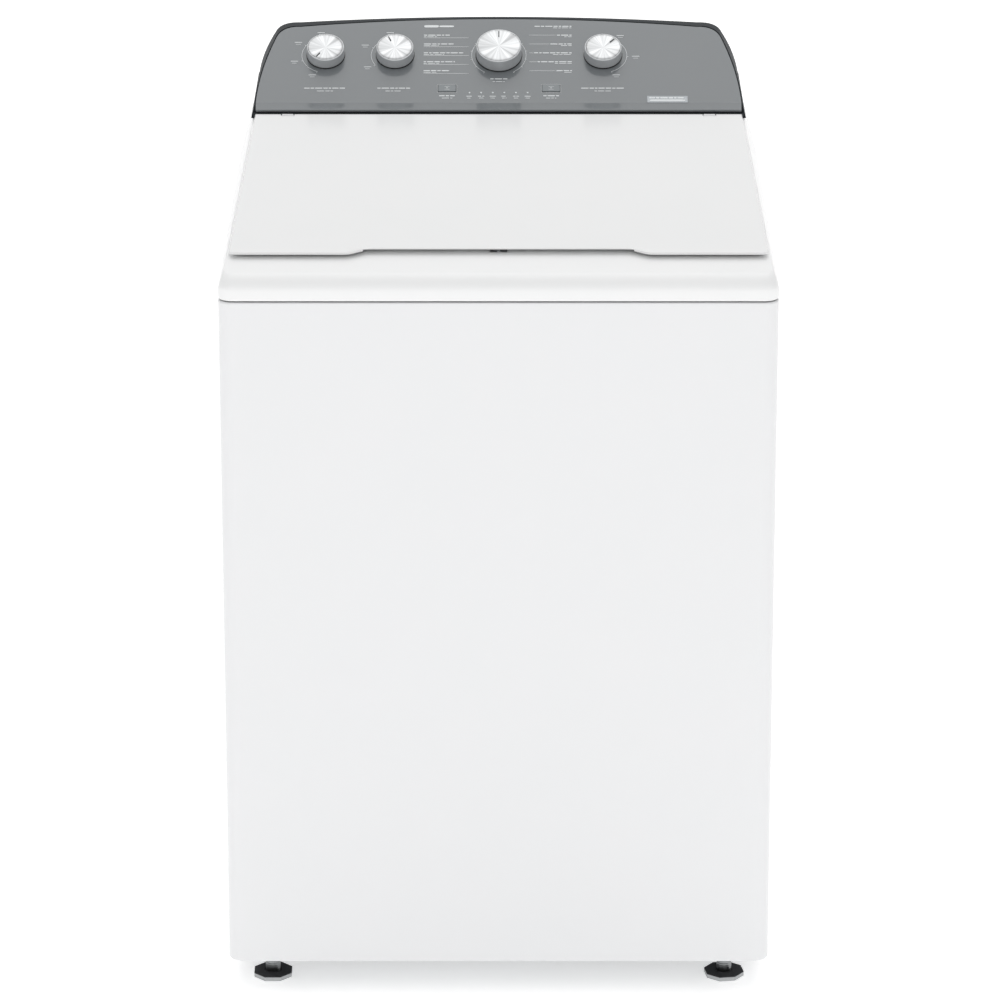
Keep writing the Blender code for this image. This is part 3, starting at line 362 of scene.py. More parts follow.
# --- The bench: modelling moves ---------------------------------------------------------------


def drop_selection() -> None:
    """Leave every object deselected, in object mode."""
    if bpy.context.object and bpy.context.object.mode != "OBJECT":
        bpy.ops.object.mode_set(mode="OBJECT")
    bpy.ops.object.select_all(action="DESELECT")


def grasp(*pieces: bpy.types.Object) -> None:
    """Select only these objects and make the first one active."""
    drop_selection()
    for piece in pieces:
        piece.select_set(True)
    bpy.context.view_layer.objects.active = pieces[0]


@contextmanager
def editing(piece: bpy.types.Object, kind: str = "FACE") -> Iterator[None]:
    """Open a piece in edit mode with nothing selected, and close it afterwards.

    Args:
        piece: The mesh object.
        kind: What is picked: FACE, EDGE or VERT.
    """
    grasp(piece)
    bpy.ops.object.mode_set(mode="EDIT")
    bpy.ops.mesh.select_mode(type=kind)
    bpy.ops.mesh.select_all(action="DESELECT")
    yield
    bpy.ops.object.mode_set(mode="OBJECT")


def pick(piece: bpy.types.Object, kind: str, rule: Rule) -> int:
    """Select what a rule accepts, in edit mode.

    Args:
        piece: The mesh being edited.
        kind: FACE, EDGE or VERT.
        rule: Takes an item's centre, and its normal or its direction along the edge.

    Returns:
        How many items are selected.
    """
    bpy.ops.mesh.select_mode(type=kind)
    mesh = bmesh.from_edit_mesh(piece.data)
    mesh.normal_update()
    chosen = 0
    if kind == "FACE":
        spots = [(face, face.calc_center_median(), face.normal) for face in mesh.faces]
    elif kind == "EDGE":
        spots = []
        for edge in mesh.edges:
            start, end = (vert.co for vert in edge.verts)
            spots.append((edge, (start + end) / 2, (end - start).normalized()))
    else:
        spots = [(vert, vert.co, vert.normal) for vert in mesh.verts]
    for item, centre, along in spots:
        held = bool(rule(centre, along))
        item.select_set(held)
        chosen += held
    mesh.select_flush_mode()
    bmesh.update_edit_mesh(piece.data)
    return chosen


def cube(size: Sequence[float], centre: Sequence[float] = (0, 0, 0)) -> bpy.types.Object:
    """Add a box at its size and place, with the place held in its mesh."""
    drop_selection()
    bpy.ops.mesh.primitive_cube_add(size=1.0, location=centre, scale=size)
    return settle(bpy.context.object)


def cylinder(radius: float, low: float, high: float, steps: int) -> bpy.types.Object:
    """Add a cylinder round the upright axis between two heights, with the place held in its mesh."""
    drop_selection()
    bpy.ops.mesh.primitive_cylinder_add(
        vertices=steps, radius=radius, depth=high - low, location=(0, 0, (low + high) / 2)
    )
    return settle(bpy.context.object)


def settle(piece: bpy.types.Object) -> bpy.types.Object:
    """Move an object's place, turn and scale into its mesh."""
    grasp(piece)
    bpy.ops.object.transform_apply(location=True, rotation=True, scale=True)
    return piece


def move_by(piece: bpy.types.Object, place: Matrix) -> bpy.types.Object:
    """Put a piece that was made flat at the origin where a matrix says."""
    piece.matrix_world = place
    bpy.context.view_layer.update()
    return settle(piece)


def bevel_edges(piece: bpy.types.Object, rule: Rule, width: float, segments: int = 3) -> None:
    """Round the edges that a rule accepts."""
    with editing(piece, "EDGE"):
        if pick(piece, "EDGE", rule):
            bpy.ops.mesh.bevel(offset=width, segments=segments, affect="EDGES", clamp_overlap=True)


def use_modifier(piece: bpy.types.Object, kind: str, **settings: object) -> None:
    """Add a modifier, set it and apply it."""
    grasp(piece)
    modifier = piece.modifiers.new(kind.lower(), kind)
    for name, value in settings.items():
        setattr(modifier, name, value)
    bpy.ops.object.modifier_apply(modifier=modifier.name)


def cut(piece: bpy.types.Object, cutter: bpy.types.Object, operation: str = "DIFFERENCE") -> None:
    """Cut or join one solid with another, which is then thrown away."""
    use_modifier(piece, "BOOLEAN", operation=operation, solver="EXACT", object=cutter)
    bpy.data.objects.remove(cutter, do_unlink=True)


def clean(piece: bpy.types.Object) -> None:
    """Merge what coincides and turn every face outwards."""
    with editing(piece, "VERT"):
        bpy.ops.mesh.select_all(action="SELECT")
        bpy.ops.mesh.remove_doubles(threshold=MERGE_DISTANCE)
        bpy.ops.mesh.normals_make_consistent(inside=False)


def soften(piece: bpy.types.Object, angle: float = 30.0, weighted: bool = True) -> None:
    """Shade a piece smooth below an angle, with flat faces kept flat."""
    grasp(piece)
    bpy.ops.object.shade_smooth_by_angle(angle=math.radians(angle))
    if weighted:
        use_modifier(piece, "WEIGHTED_NORMAL", keep_sharp=True)


def ring_stack(
    rings: Sequence[Sequence[Vector]], fill_last: bool = False, closed: bool = True
) -> bpy.types.Object:
    """Raise a skin from a ring of points by extruding it to ring after ring.

    Args:
        rings: Rings with equal counts of points, in order.
        fill_last: Whether the last ring is closed with a face.
        closed: Whether each ring runs all the way round.

    Returns:
        The open skin.
    """
    count = len(rings[0])
    drop_selection()
    bpy.ops.mesh.primitive_circle_add(vertices=count, radius=1.0)
    piece = bpy.context.object
    for vert, point in zip(piece.data.vertices, rings[0]):
        vert.co = point
    with editing(piece, "EDGE"):
        if not closed:
            mesh = bmesh.from_edit_mesh(piece.data)
            mesh.verts.ensure_lookup_table()
            ends = {0, count - 1}
            last = [edge for edge in mesh.edges if {vert.index for vert in edge.verts} == ends]
            bmesh.ops.delete(mesh, geom=last, context="EDGES")
            bmesh.update_edit_mesh(piece.data)
        bpy.ops.mesh.select_all(action="SELECT")
        for previous, ring in zip(rings, rings[1:]):
            bpy.ops.mesh.extrude_region_move()
            mesh = bmesh.from_edit_mesh(piece.data)
            for vert in mesh.verts:
                if vert.select:
                    gaps = [(vert.co - point).length_squared for point in previous]
                    vert.co = ring[gaps.index(min(gaps))]
            bmesh.update_edit_mesh(piece.data)
        if fill_last:
            bpy.ops.mesh.edge_face_add()
    return piece


def lathe(profile: Sequence[Point], steps: int) -> bpy.types.Object:
    """Spin a closed or axis-to-axis profile of (radius, height) points about the upright axis.

    Args:
        profile: The points, in order.
        steps: How many steps the turn takes.

    Returns:
        The turned piece.
    """
    on_axis = profile[0][0] == 0 and profile[-1][0] == 0
    data = bpy.data.curves.new("profile", "CURVE")
    data.dimensions = "3D"
    spline = data.splines.new("POLY")
    spline.points.add(len(profile) - 1)
    for point, (radius, height) in zip(spline.points, profile):
        point.co = (radius, 0.0, height, 1.0)
    spline.use_cyclic_u = not on_axis
    drawn = bpy.data.objects.new("profile", data)
    bpy.context.scene.collection.objects.link(drawn)
    grasp(drawn)
    bpy.ops.object.convert(target="MESH")
    piece = bpy.context.object
    with editing(piece, "EDGE"):
        bpy.ops.mesh.select_all(action="SELECT")
        bpy.ops.mesh.spin(steps=steps, angle=math.tau, center=(0, 0, 0), axis=(0, 0, 1))
    clean(piece)
    return piece


def copies(model: bpy.types.Object, places: Sequence[Matrix]) -> bpy.types.Object:
    """Copy a model to several places, each with its own mesh, and join them.

    Args:
        model: The piece to repeat, which is used up.
        places: Where each copy goes.

    Returns:
        The joined piece.
    """
    made = []
    for place in places:
        other = model.copy()
        other.data = model.data.copy()
        other.data.transform(place)
        bpy.context.scene.collection.objects.link(other)
        made.append(other)
    bpy.data.objects.remove(model, do_unlink=True)
    return joined(made)


def joined(pieces: Sequence[bpy.types.Object]) -> bpy.types.Object:
    """Join pieces into the first one."""
    grasp(*pieces)
    if len(pieces) > 1:
        bpy.ops.object.join()
    return bpy.context.object


def hand_over(
    piece: bpy.types.Object, name: str, body: str, finish: Finish, replaces: Sequence[str] = ()
) -> None:
    """Name a finished piece, dress it, and let it ride on its body.

    Args:
        piece: The finished mesh object, at the origin.
        name: The piece's plain name.
        body: The CAD body that it moves with.
        finish: Its finish.
        replaces: The CAD nodes it stands for.
    """
    drop_selection()
    piece.name = name
    piece.data.name = name
    piece.data.materials.clear()
    piece.data.materials.append(finish.build())
    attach(piece, body)
    if replaces:
        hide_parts(*replaces)
    LOG.info("%s rides on %s, %d faces", name, body, len(piece.data.polygons))


def arc(centre: Point, radius: float, start: float, end: float, steps: int) -> list[Point]:
    """Return points of an arc between two angles in degrees, both ends included."""
    angles = [math.radians(start + (end - start) * step / steps) for step in range(steps + 1)]
    return [(centre[0] + radius * math.cos(a), centre[1] + radius * math.sin(a)) for a in angles]


def rounded_rectangle(
    half_front: float, half_rear: float, front: float, rear: float, radius: float, steps: int = 10
) -> list[Point]:
    """Return a rounded outline, from its front left corner round to the rear left one."""
    outline = arc((-half_front + radius, front + radius), radius, 180, 270, steps)
    outline += arc((half_front - radius, front + radius), radius, 270, 360, steps)
    outline += arc((half_rear - radius, rear - radius), radius, 0, 90, steps)
    outline += arc((-half_rear + radius, rear - radius), radius, 90, 180, steps)
    return outline


def at(height: float, outline: Sequence[Point]) -> list[Vector]:
    """Lift a flat outline to a height."""
    return [Vector((x, y, height)) for x, y in outline]


# --- Cabinet ----------------------------------------------------------------------------------


@dataclass
class Cabinet:
    """The wrapped sheet with its folded lips, and the screws of the rear panel."""

    corner_radius: float = 0.019
    lip: float = 0.018
    rear_lip: float = 0.024
    sheet: float = 0.0012
    fold: float = 0.0026
    screw_rows: int = 5
    screw_inset: float = 0.010
    screw_end: float = 0.040
    screw_radius: float = 0.0036
    screw_height: float = 0.0014

    def build(self) -> None:
        """Build the wrap and its screws."""
        self._wrap()
        self._screws()

    def _wrap(self) -> None:
        """Shape the wrap from a box: rounded corners, open ends with lips, and an open back."""
        low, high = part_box("cabinet_shell")
        size = high - low
        wrap = cube(size, (low + high) / 2)
        front, rear = low.y, high.y
        bevel_edges(wrap, lambda c, d: abs(d.z) > ALIGNED and c.y < front + 0.01, self.corner_radius, 12)
        with editing(wrap):
            for up in (1, -1):
                pick(wrap, "FACE", lambda c, n: n.z * up > ALIGNED)
                bpy.ops.mesh.inset(thickness=self.lip, depth=0)
                bpy.ops.mesh.delete(type="FACE")
            pick(wrap, "FACE", lambda c, n: n.y > ALIGNED and abs(c.x) < 0.1)
            bpy.ops.mesh.inset(thickness=self.rear_lip, depth=0)
            bpy.ops.mesh.delete(type="FACE")
        ends = (low.z, high.z)
        bevel_edges(
            wrap,
            lambda c, d: abs(d.z) < 0.1
            and any(abs(c.z - end) < MERGE_DISTANCE for end in ends)
            and self._on_rim(c, high.x, front, rear),
            self.fold,
            3,
        )
        use_modifier(wrap, "SOLIDIFY", thickness=self.sheet, offset=-1.0, use_even_offset=True)
        soften(wrap)
        hand_over(wrap, "cabinet_wrap", "cabinet", ENAMEL, ["cabinet_shell"])

    def _on_rim(self, centre: Vector, half: float, front: float, rear: float) -> bool:
        """Tell whether an edge's middle lies on the wrap's outer outline."""
        radius = self.corner_radius
        corner = Vector((half - radius, front + radius))
        x, y = abs(centre.x), centre.y
        if x > corner.x and y < corner.y:
            return (Vector((x, y)) - corner).length > radius - 0.0005
        return x > half - 0.0002 or y < front + 0.0002 or y > rear - 0.0002

    def _screws(self) -> None:
        """Fasten the rear panel with hexagon-headed screws up both sides."""
        low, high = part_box("rear_panel")
        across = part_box("cabinet_shell")[1].x - self.rear_lip - self.screw_inset
        span = high.z - low.z - 2 * self.screw_end
        places = []
        for side in (-1, 1):
            for row in range(self.screw_rows):
                z = low.z + self.screw_end + span * row / (self.screw_rows - 1)
                places.append(
                    Matrix.Translation((side * across, high.y - 0.0001, z))
                    @ Matrix.Rotation(-math.pi / 2, 4, "X")
                )
        screws = copies(hexagon_screw(self.screw_radius, self.screw_height), places)
        hand_over(screws, "rear_panel_screws", "cabinet", SCREW_ZINC)


def hexagon_screw(radius: float, height: float) -> bpy.types.Object:
    """Return a small washer-faced screw head that stands on the origin along Z."""
    head = cylinder(radius * 1.35, 0.0, height * 0.3, 18)
    with editing(head):
        pick(head, "FACE", lambda c, n: n.z > ALIGNED)
        bpy.ops.mesh.inset(thickness=radius * 0.35, depth=0)
        bpy.ops.mesh.extrude_region_move(TRANSFORM_OT_translate={"value": (0, 0, height * 0.7)})
        bpy.ops.mesh.inset(thickness=radius * 0.3, depth=0)
        bpy.ops.mesh.extrude_region_move(TRANSFORM_OT_translate={"value": (0, 0, -height * 0.25)})
    soften(head, 35, weighted=False)
    return head


# --- Deck -------------------------------------------------------------------------------------


@dataclass
class Deck:
    """The moulded top: skirt, rounded front, leaning sides, loading opening and its well."""

    skirt_low: float = 0.937
    shoulder: float = 0.950
    edge_radius: float = 0.020
    lean: float = 0.25
    side_round: float = 0.003
    lower_round: float = 0.0022
    corner_radius: float = 0.019
    corner_tightening: float = 0.006
    opening_half: float = 0.225
    opening_front: float = -0.240
    opening_rear: float = 0.140
    opening_radius: float = 0.110
    opening_lip: float = 0.004
    wall: float = 0.003
    steps: int = 10
    lock_hole: Size = (0.022, 0.014, 0.030)
    lock_place: Point = (0.0, -0.2555)
    service_hole: Size = (0.440, 0.108, 0.060)
    service_y: float = 0.266
    spout_slot: Size = (0.070, 0.020, 0.016)
    spout_z: float = 0.986

    def height(self, y: float) -> float:
        """Return the height of the sloping top at a depth."""
        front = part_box("top_deck")[0].y
        return self.shoulder + self.edge_radius + (y - front - self.edge_radius) * math.tan(TOP_SLOPE)

    def _shoulder_ring(self, angle: float) -> list[Vector]:
        """Return the outline part of the way round the edge.

        Args:
            angle: 0 at the shoulder and 90 degrees at the top.

        Returns:
            The ring's points.
        """
        low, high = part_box("top_deck")
        turn = math.radians(angle)
        front = low.y + self.edge_radius * (1 - math.cos(turn))
        radius = self.corner_radius - self.corner_tightening * math.sin(turn)
        halves = []
        for y in (low.y + self.edge_radius, high.y):
            rise = (self.height(y) - self.shoulder) * math.sin(turn)
            halves.append(high.x - self.lean * rise - self.side_round * (1 - math.cos(turn)))
        outline = rounded_rectangle(halves[0], halves[1], front, high.y, radius, self.steps)
        rises = [(self.height(y) - self.shoulder) * math.sin(turn) for _, y in outline]
        return [Vector((x, y, self.shoulder + rise)) for (x, y), rise in zip(outline, rises)]

    def _base_ring(self, inset: float) -> list[Point]:
        """Return the skirt's outline, inset by a distance."""
        low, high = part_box("top_deck")
        half = high.x - inset
        radius = self.corner_radius - inset
        return rounded_rectangle(half, half, low.y + inset, high.y - inset, radius, self.steps)

    def _opening(self, grow: float) -> list[Point]:
        """Return the loading opening's outline, grown by a distance."""
        half = self.opening_half + grow
        front, rear = self.opening_front - grow, self.opening_rear + grow
        return rounded_rectangle(half, half, front, rear, self.opening_radius + grow, self.steps)

    @staticmethod
    def _rounding(radius: float, turn: float) -> Point:
        """Return how far a rounded edge still has to go, each way, after a turn in degrees."""
        angle = math.radians(turn)
        return radius * (1 - math.sin(angle)), radius * (1 - math.cos(angle))

    def build(self) -> None:
        """Build the deck as one skin with a wall, and cut its service holes."""
        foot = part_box("top_deck")[0].z
        rings = []
        for turn in (90, 60, 30, 0):
            rise, inset = self._rounding(self.lower_round, turn)
            rings.append(at(foot + rise, self._base_ring(inset)))
        rings += [self._shoulder_ring(turn) for turn in range(0, 91, 10)]
        for turn in (0, 30, 60, 90):
            grow, drop = self._rounding(self.opening_lip, turn)
            rings.append([Vector((x, y, self.height(y) - drop)) for x, y in self._opening(grow)])
        rings.append(at(self.shoulder, self._opening(0.0)))
        deck = ring_stack(rings)
        clean(deck)
        use_modifier(deck, "SOLIDIFY", thickness=self.wall, offset=-1.0, use_even_offset=True)
        x, y = self.lock_place
        for size, place in (
            (self.lock_hole, (x, y, self.height(y))),
            (self.service_hole, (0, self.service_y, self.height(self.service_y))),
            (self.spout_slot, (0, self.opening_rear, self.spout_z)),
        ):
            cut(deck, cube(size, place))
        soften(deck, 28)
        hand_over(deck, "deck_moulding", "cabinet", WHITE_ABS, ["top_deck"])


# --- Lid --------------------------------------------------------------------------------------


@dataclass
class Lid:
    """The lid slab with its finger scoop, its liner, and its rubber bumpers.

    The pressing lists how far in and how far down each ring of the liner lies.
    """

    half_front: float = 0.338
    half_rear: float = 0.3235
    length: float = 0.461
    thickness: float = 0.006
    corner: float = 0.008
    round_over: float = 0.0022
    undercut: float = 0.0070
    scoop_half: float = 0.160
    scoop_ramp: float = 0.033
    scoop_depth: float = 0.014
    ramp_steps: int = 10
    corner_steps: int = 6
    edge_set_in: float = 0.0002
    hinge_notch: Size = (0.0180, 0.0200, 0.0140)
    hinge_notch_place: Point = (0.280, 0.0050)
    finger_cut: Point = (0.030, 0.010)
    finger_place: Point = (0.0045, -0.0050)
    finger_tilt: float = -0.27
    liner_half: float = 0.212
    liner_front: float = -0.402
    liner_rear: float = -0.050
    liner_corner: float = 0.100
    liner_sheet: float = 0.0018
    liner_gap: float = 0.0003
    pressing: tuple[Point, ...] = (
        (0.0, 0.0),
        (0.0008, 0.0),
        (0.0030, 0.0015),
        (0.0105, 0.0098),
        (0.0130, 0.0115),
        (0.0300, 0.0115),
        (0.0345, 0.0085),
        (0.0700, 0.0080),
    )
    bumper_radius: float = 0.0050
    bumper_height: float = 0.0016
    bumper_spots: tuple[Point, ...] = ((-0.300, -0.430), (0.300, -0.430), (-0.290, -0.060), (0.290, -0.060))

    def place(self) -> Matrix:
        """Return where the lid's own frame sits: on the hinge axis, along the slope."""
        hinge = Vector(JOINTS["lid_hinge"]["pos_m"])
        return Matrix.Translation(hinge) @ Matrix.Rotation(TOP_SLOPE, 4, "X")

    def _outline(self, inset: float) -> list[Point]:
        """Return the slab's outline in the lid's frame, inset by a distance."""
        front = -self.length + inset
        radius = self.corner - inset * 0.6
        half = self.half_front - inset
        outline = arc((-half + radius, front + radius), radius, 180, 270, self.corner_steps)
        ramp = []
        for step in range(self.ramp_steps + 1):
            share = step / self.ramp_steps
            x = -self.scoop_half - self.scoop_ramp * (1 - share)
            ramp.append((x, front + self.scoop_depth * (1 - math.cos(math.pi * share)) / 2))
        outline += ramp + [(-x, y) for x, y in reversed(ramp)]
        outline += arc((half - radius, front + radius), radius, 270, 360, self.corner_steps)
        rear = self.thickness / 2 - inset
        outline += [(self.half_rear - inset, rear), (-self.half_rear + inset, rear)]
        return outline

    def build(self) -> None:
        """Build the slab, the liner and the bumpers."""
        self._slab()
        self._liner()
        self._bumpers()

    def _slab(self) -> None:
        """Raise the slab from its underside over a rounded top edge, and cut it for the hinges."""
        half = self.thickness / 2
        rings = [
            at(-half, self._outline(self.undercut)),
            at(half - 1.3 * self.round_over, self._outline(self.edge_set_in)),
        ]
        for turn in range(0, 91, 15):
            angle = math.radians(turn)
            inset = self.round_over * (1 - math.cos(angle))
            height = half - self.round_over + self.round_over * math.sin(angle)
            rings.append(at(height, self._outline(inset)))
        slab = ring_stack(rings, fill_last=True)
        with editing(slab, "EDGE"):
            pick(slab, "EDGE", lambda c, d: c.z < -half + MERGE_DISTANCE)
            bpy.ops.mesh.edge_face_add()
        clean(slab)
        x, y = self.hinge_notch_place
        for side in (-1, 1):
            cut(slab, cube(self.hinge_notch, (side * x, y, 0)))
        finger = cube((2 * self.scoop_half + 0.02, *self.finger_cut))
        behind, height = self.finger_place
        spot = Matrix.Translation((0, -self.length + self.scoop_depth + behind, height))
        finger.data.transform(spot @ Matrix.Rotation(self.finger_tilt, 4, "X"))
        cut(slab, finger)
        soften(slab, 32)
        move_by(slab, self.place())
        hand_over(slab, "lid_slab", "lid", LID_ABS, ["lid"])

    def _liner(self) -> None:
        """Press the liner under the lid: a flange, a drawn wall and a dished field."""
        under = -self.thickness / 2 - self.liner_gap
        rings = []
        for inset, drop in self.pressing:
            half = self.liner_half - inset
            front, rear = self.liner_front + inset, self.liner_rear - inset
            outline = rounded_rectangle(half, half, front, rear, self.liner_corner - inset * 0.8, 12)
            rings.append(at(under - drop, outline))
        liner = ring_stack(rings, fill_last=True)
        clean(liner)
        with editing(liner):
            bpy.ops.mesh.select_all(action="SELECT")
            bpy.ops.mesh.flip_normals()
        use_modifier(liner, "SOLIDIFY", thickness=self.liner_sheet, offset=1.0, use_even_offset=True)
        clean(liner)
        soften(liner, 30)
        move_by(liner, self.place())
        hand_over(liner, "lid_liner_pan", "lid", WHITE_ABS, ["lid_liner"])

    def _bumpers(self) -> None:
        """Set four soft bumpers under the lid's corners."""
        bumper = cylinder(self.bumper_radius, -self.bumper_height, 0.0, 24)
        bevel_edges(bumper, lambda c, d: c.z < 0.0001 - self.bumper_height, self.bumper_height / 2, 3)
        soften(bumper)
        under = -self.thickness / 2
        bumpers = copies(bumper, [Matrix.Translation((x, y, under)) for x, y in self.bumper_spots])
        move_by(bumpers, self.place())
        hand_over(bumpers, "lid_bumpers", "lid", RUBBER)


# --- Console ----------------------------------------------------------------------------------


@dataclass
class Panel:
    """The sloping plane of the console, on which the fascia, legend and controls sit."""

    foot_t: float = 0.0878
    half_foot: float = 0.3251
    reach: float = 0.1566
    crown_x: float = 0.2680
    front_y: float = 0.180
    ledge_z: float = 1.0446
    rim: float = 0.003
    reveal: float = 0.0014
    lean_in: float = 0.06
    bow_in: float = 1.20
    crown_bow: float = 0.20
    side_end_t: float = 0.118
    corner_t: float = 0.137
    corner_rise: float = 0.0015
    side_steps: int = 14
    crown_steps: int = 12

    def frame(self) -> Matrix:
        """Return the panel's frame: X across, Y up the slope, Z out of the face."""
        knob = JOINTS["knob_cycle_turn"]
        normal = Vector(knob["axis"]).normalized()
        across = Vector((1, 0, 0))
        upward = normal.cross(across)
        origin = Vector(knob["pos_m"]) - upward * self.foot_t
        origin.x = 0
        turn = Matrix((across, upward, normal)).transposed()
        return Matrix.Translation(origin) @ turn.to_4x4()

    def side(self, t: float) -> float:
        """Return half the panel's width at a place up the slope."""
        return self.half_foot - self.lean_in * t - self.bow_in * t * t

    def outline(self, inset: float = 0.0) -> list[Point]:
        """Return the right half of the face, from its foot over the shoulder to mid crown."""
        steps = self.side_steps
        rises = [self.side_end_t * step / steps for step in range(steps + 1)]
        points = [(self.side(t) - inset, t) for t in rises]
        start = Vector(points[-1])
        end = Vector((self.crown_x - inset, self.reach - inset - self.crown_bow * self.crown_x**2))
        corner = Vector((self.side(self.corner_t) - inset, end.y + self.corner_rise))
        for step in range(1, steps + 1):
            share = step / steps
            spot = start * (1 - share) ** 2 + corner * 2 * share * (1 - share) + end * share**2
            points.append(tuple(spot))
        for step in range(1, self.crown_steps + 1):
            x = (self.crown_x - inset) * (1 - step / self.crown_steps)
            points.append((x, self.reach - inset - self.crown_bow * x * x))
        return points

    def mirrored(self, inset: float = 0.0) -> list[Point]:
        """Return the whole face's outline, from the right foot to the left foot."""
        half = self.outline(inset)
        return half + [(-x, t) for x, t in reversed(half[:-1])]


@dataclass
class Console:
    """The charcoal shell, the grey fascia with its ledge, and the badge plate."""

    panel: Panel = field(default_factory=Panel)
    fascia_thickness: float = 0.0025
    sill_drop: float = 0.0040
    sill_back: float = 0.0018
    rim_setback: float = 0.0004
    rim_easing: float = 0.0006
    middle_z: float = 1.06
    rear_foot_z: float = 1.0543
    foot_lean: float = 0.25
    fascia_gap: float = 0.0002
    ledge_setback: float = 0.0006
    fold: float = 0.0022
    button_hole: Size = (0.0250, 0.0135, 0.02)
    button_hole_corner: float = 0.0011
    badge: Size = (0.0540, 0.0120, 0.0006)
    badge_place: Point = (0.2250, 0.0062)
    badge_word: Size = (0.2010, 0.2490, 0.0088)
    badge_line: Mark = (0.2250, 0.0042, 0.0470, 0.0036)
    badge_stroke: float = 0.0026
    badge_print_height: float = 0.00052
    cover_screw_places: tuple[float, ...] = (-0.300, -0.160, 0.0, 0.160, 0.300)
    cover_screw_rise: float = 0.008

    def build(self) -> None:
        """Build the shell, the fascia, the badge and the rear cover's screws."""
        self._housing()
        self._fascia()
        self._badge()
        self._cover_screws()

    def _housing(self) -> None:
        """Draw the shell back from the face's outline to the rear, and give it its wall."""
        panel = self.panel
        frame = panel.frame()
        low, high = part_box("console_housing")
        front = []
        for z in (low.z, panel.ledge_z):
            x = panel.half_foot + self.foot_lean * (frame.translation.z - z)
            front.append(Vector((x, panel.front_y, z)))
        front += [frame @ Vector((x, t, 0)) for x, t in panel.outline()]
        front += [Vector((-point.x, point.y, point.z)) for point in reversed(front[:-1])]
        rear_z = self.rear_foot_z
        rear = []
        for point in front:
            x = max(-panel.half_foot, min(point.x, panel.half_foot))
            rear.append(Vector((point.x if point.z > rear_z else x, high.y, max(point.z, rear_z))))
        back = Vector((0, self.rim_setback, 0))
        soft_front = [self._eased(point) + back for point in front]
        full = [point + back * 2 for point in front]
        middle = [a * 0.5 + b * 0.5 for a, b in zip(full, rear)]
        shell = ring_stack([soft_front, full, middle, rear], closed=False)
        with editing(shell, "VERT"):
            bpy.ops.mesh.select_all(action="SELECT")
            bpy.ops.mesh.remove_doubles(threshold=0.00002)
        self._face_out(shell)
        use_modifier(shell, "SOLIDIFY", thickness=panel.rim, offset=-1.0, use_even_offset=True)
        top = panel.ledge_z - self.sill_drop
        height = top - low.z - 0.0003
        place = (0, panel.front_y + self.sill_back, top - height / 2)
        cut(shell, cube((2 * panel.half_foot + 0.0026, panel.rim, height), place), "UNION")
        soften(shell, 35)
        hand_over(shell, "console_shell", "cabinet", CHARCOAL_ABS, ["console_housing"])

    def _eased(self, point: Vector) -> Vector:
        """Pull a rim point a little inwards, so that the shell's front edge is rounded."""
        inward = Vector((0, point.y, self.middle_z)) - point
        return point + inward.normalized() * self.rim_easing

    def _face_out(self, shell: bpy.types.Object) -> None:
        """Turn an open shell's faces away from the console's inside."""
        with editing(shell):
            bpy.ops.mesh.select_all(action="SELECT")
            bpy.ops.mesh.normals_make_consistent(inside=False)
            mesh = bmesh.from_edit_mesh(shell.data)
            top = max(mesh.faces, key=lambda face: face.calc_center_median().z)
            if top.normal.z < 0:
                bpy.ops.mesh.flip_normals()

    def _fascia(self) -> None:
        """Fill the face's outline, fold the ledge down from its foot, and cut the control holes."""
        panel = self.panel
        outline = panel.mirrored(panel.reveal + self.fascia_gap)
        drop_selection()
        bpy.ops.mesh.primitive_circle_add(vertices=len(outline), radius=1.0)
        face = bpy.context.object
        for vert, (x, t) in zip(face.data.vertices, outline):
            vert.co = (x, t, 0)
        turn = panel.frame().to_3x3().inverted()
        foot = Vector((0, panel.front_y + self.ledge_setback, panel.ledge_z))
        ledge = turn @ (foot - panel.frame().translation)
        with editing(face, "EDGE"):
            bpy.ops.mesh.select_all(action="SELECT")
            bpy.ops.mesh.edge_face_add()
            pick(face, "EDGE", lambda c, d: c.y < 0.0001 and abs(d.x) > 0.99 and abs(c.x) < 0.01)
            bpy.ops.mesh.extrude_region_move(TRANSFORM_OT_translate={"value": ledge})
            share = 1 - 0.0008 / panel.half_foot
            bpy.ops.transform.resize(value=(share, 1, 1))
            pick(face, "EDGE", lambda c, d: abs(c.y) < 0.0001 and abs(c.z) < 0.0001 and abs(c.x) < 0.01)
            bpy.ops.mesh.bevel(offset=self.fold, segments=4, affect="EDGES")
        with editing(face):
            bpy.ops.mesh.select_all(action="SELECT")
            bpy.ops.mesh.normals_make_consistent(inside=False)
            mesh = bmesh.from_edit_mesh(face.data)
            if max(mesh.faces, key=lambda item: item.calc_area()).normal.z < 0:
                bpy.ops.mesh.flip_normals()
        use_modifier(face, "SOLIDIFY", thickness=self.fascia_thickness, offset=-1.0, use_even_offset=True)
        for name in BUTTONS:
            hole = cube(self.button_hole, (*button_place(name, panel), 0))
            bevel_edges(hole, lambda c, d: abs(d.z) > ALIGNED, self.button_hole_corner, 3)
            cut(face, hole)
        soften(face, 30)
        move_by(face, panel.frame())
        hand_over(face, "fascia_plate", "cabinet", FASCIA, ["control_panel"])

    def _badge(self) -> None:
        """Fix a plain foil plate with a raised border near the panel's right foot."""
        plate = cube(self.badge, (*self.badge_place, self.badge[2] / 2))
        with editing(plate):
            pick(plate, "FACE", lambda c, n: n.z > ALIGNED)
            bpy.ops.mesh.inset(thickness=0.0007, depth=0)
            bpy.ops.mesh.inset(thickness=0.0002, depth=-0.0002)
        soften(plate)
        move_by(plate, self.panel.frame())
        hand_over(plate, "badge_plate", "cabinet", BADGE_FOIL)
        marks = Legend(self.panel).caption(*self.badge_word, thick=self.badge_stroke)
        printed = Legend.print_marks([*marks, self.badge_line], self.badge_print_height)
        move_by(printed, self.panel.frame())
        hand_over(printed, "badge_marks", "cabinet", INK)

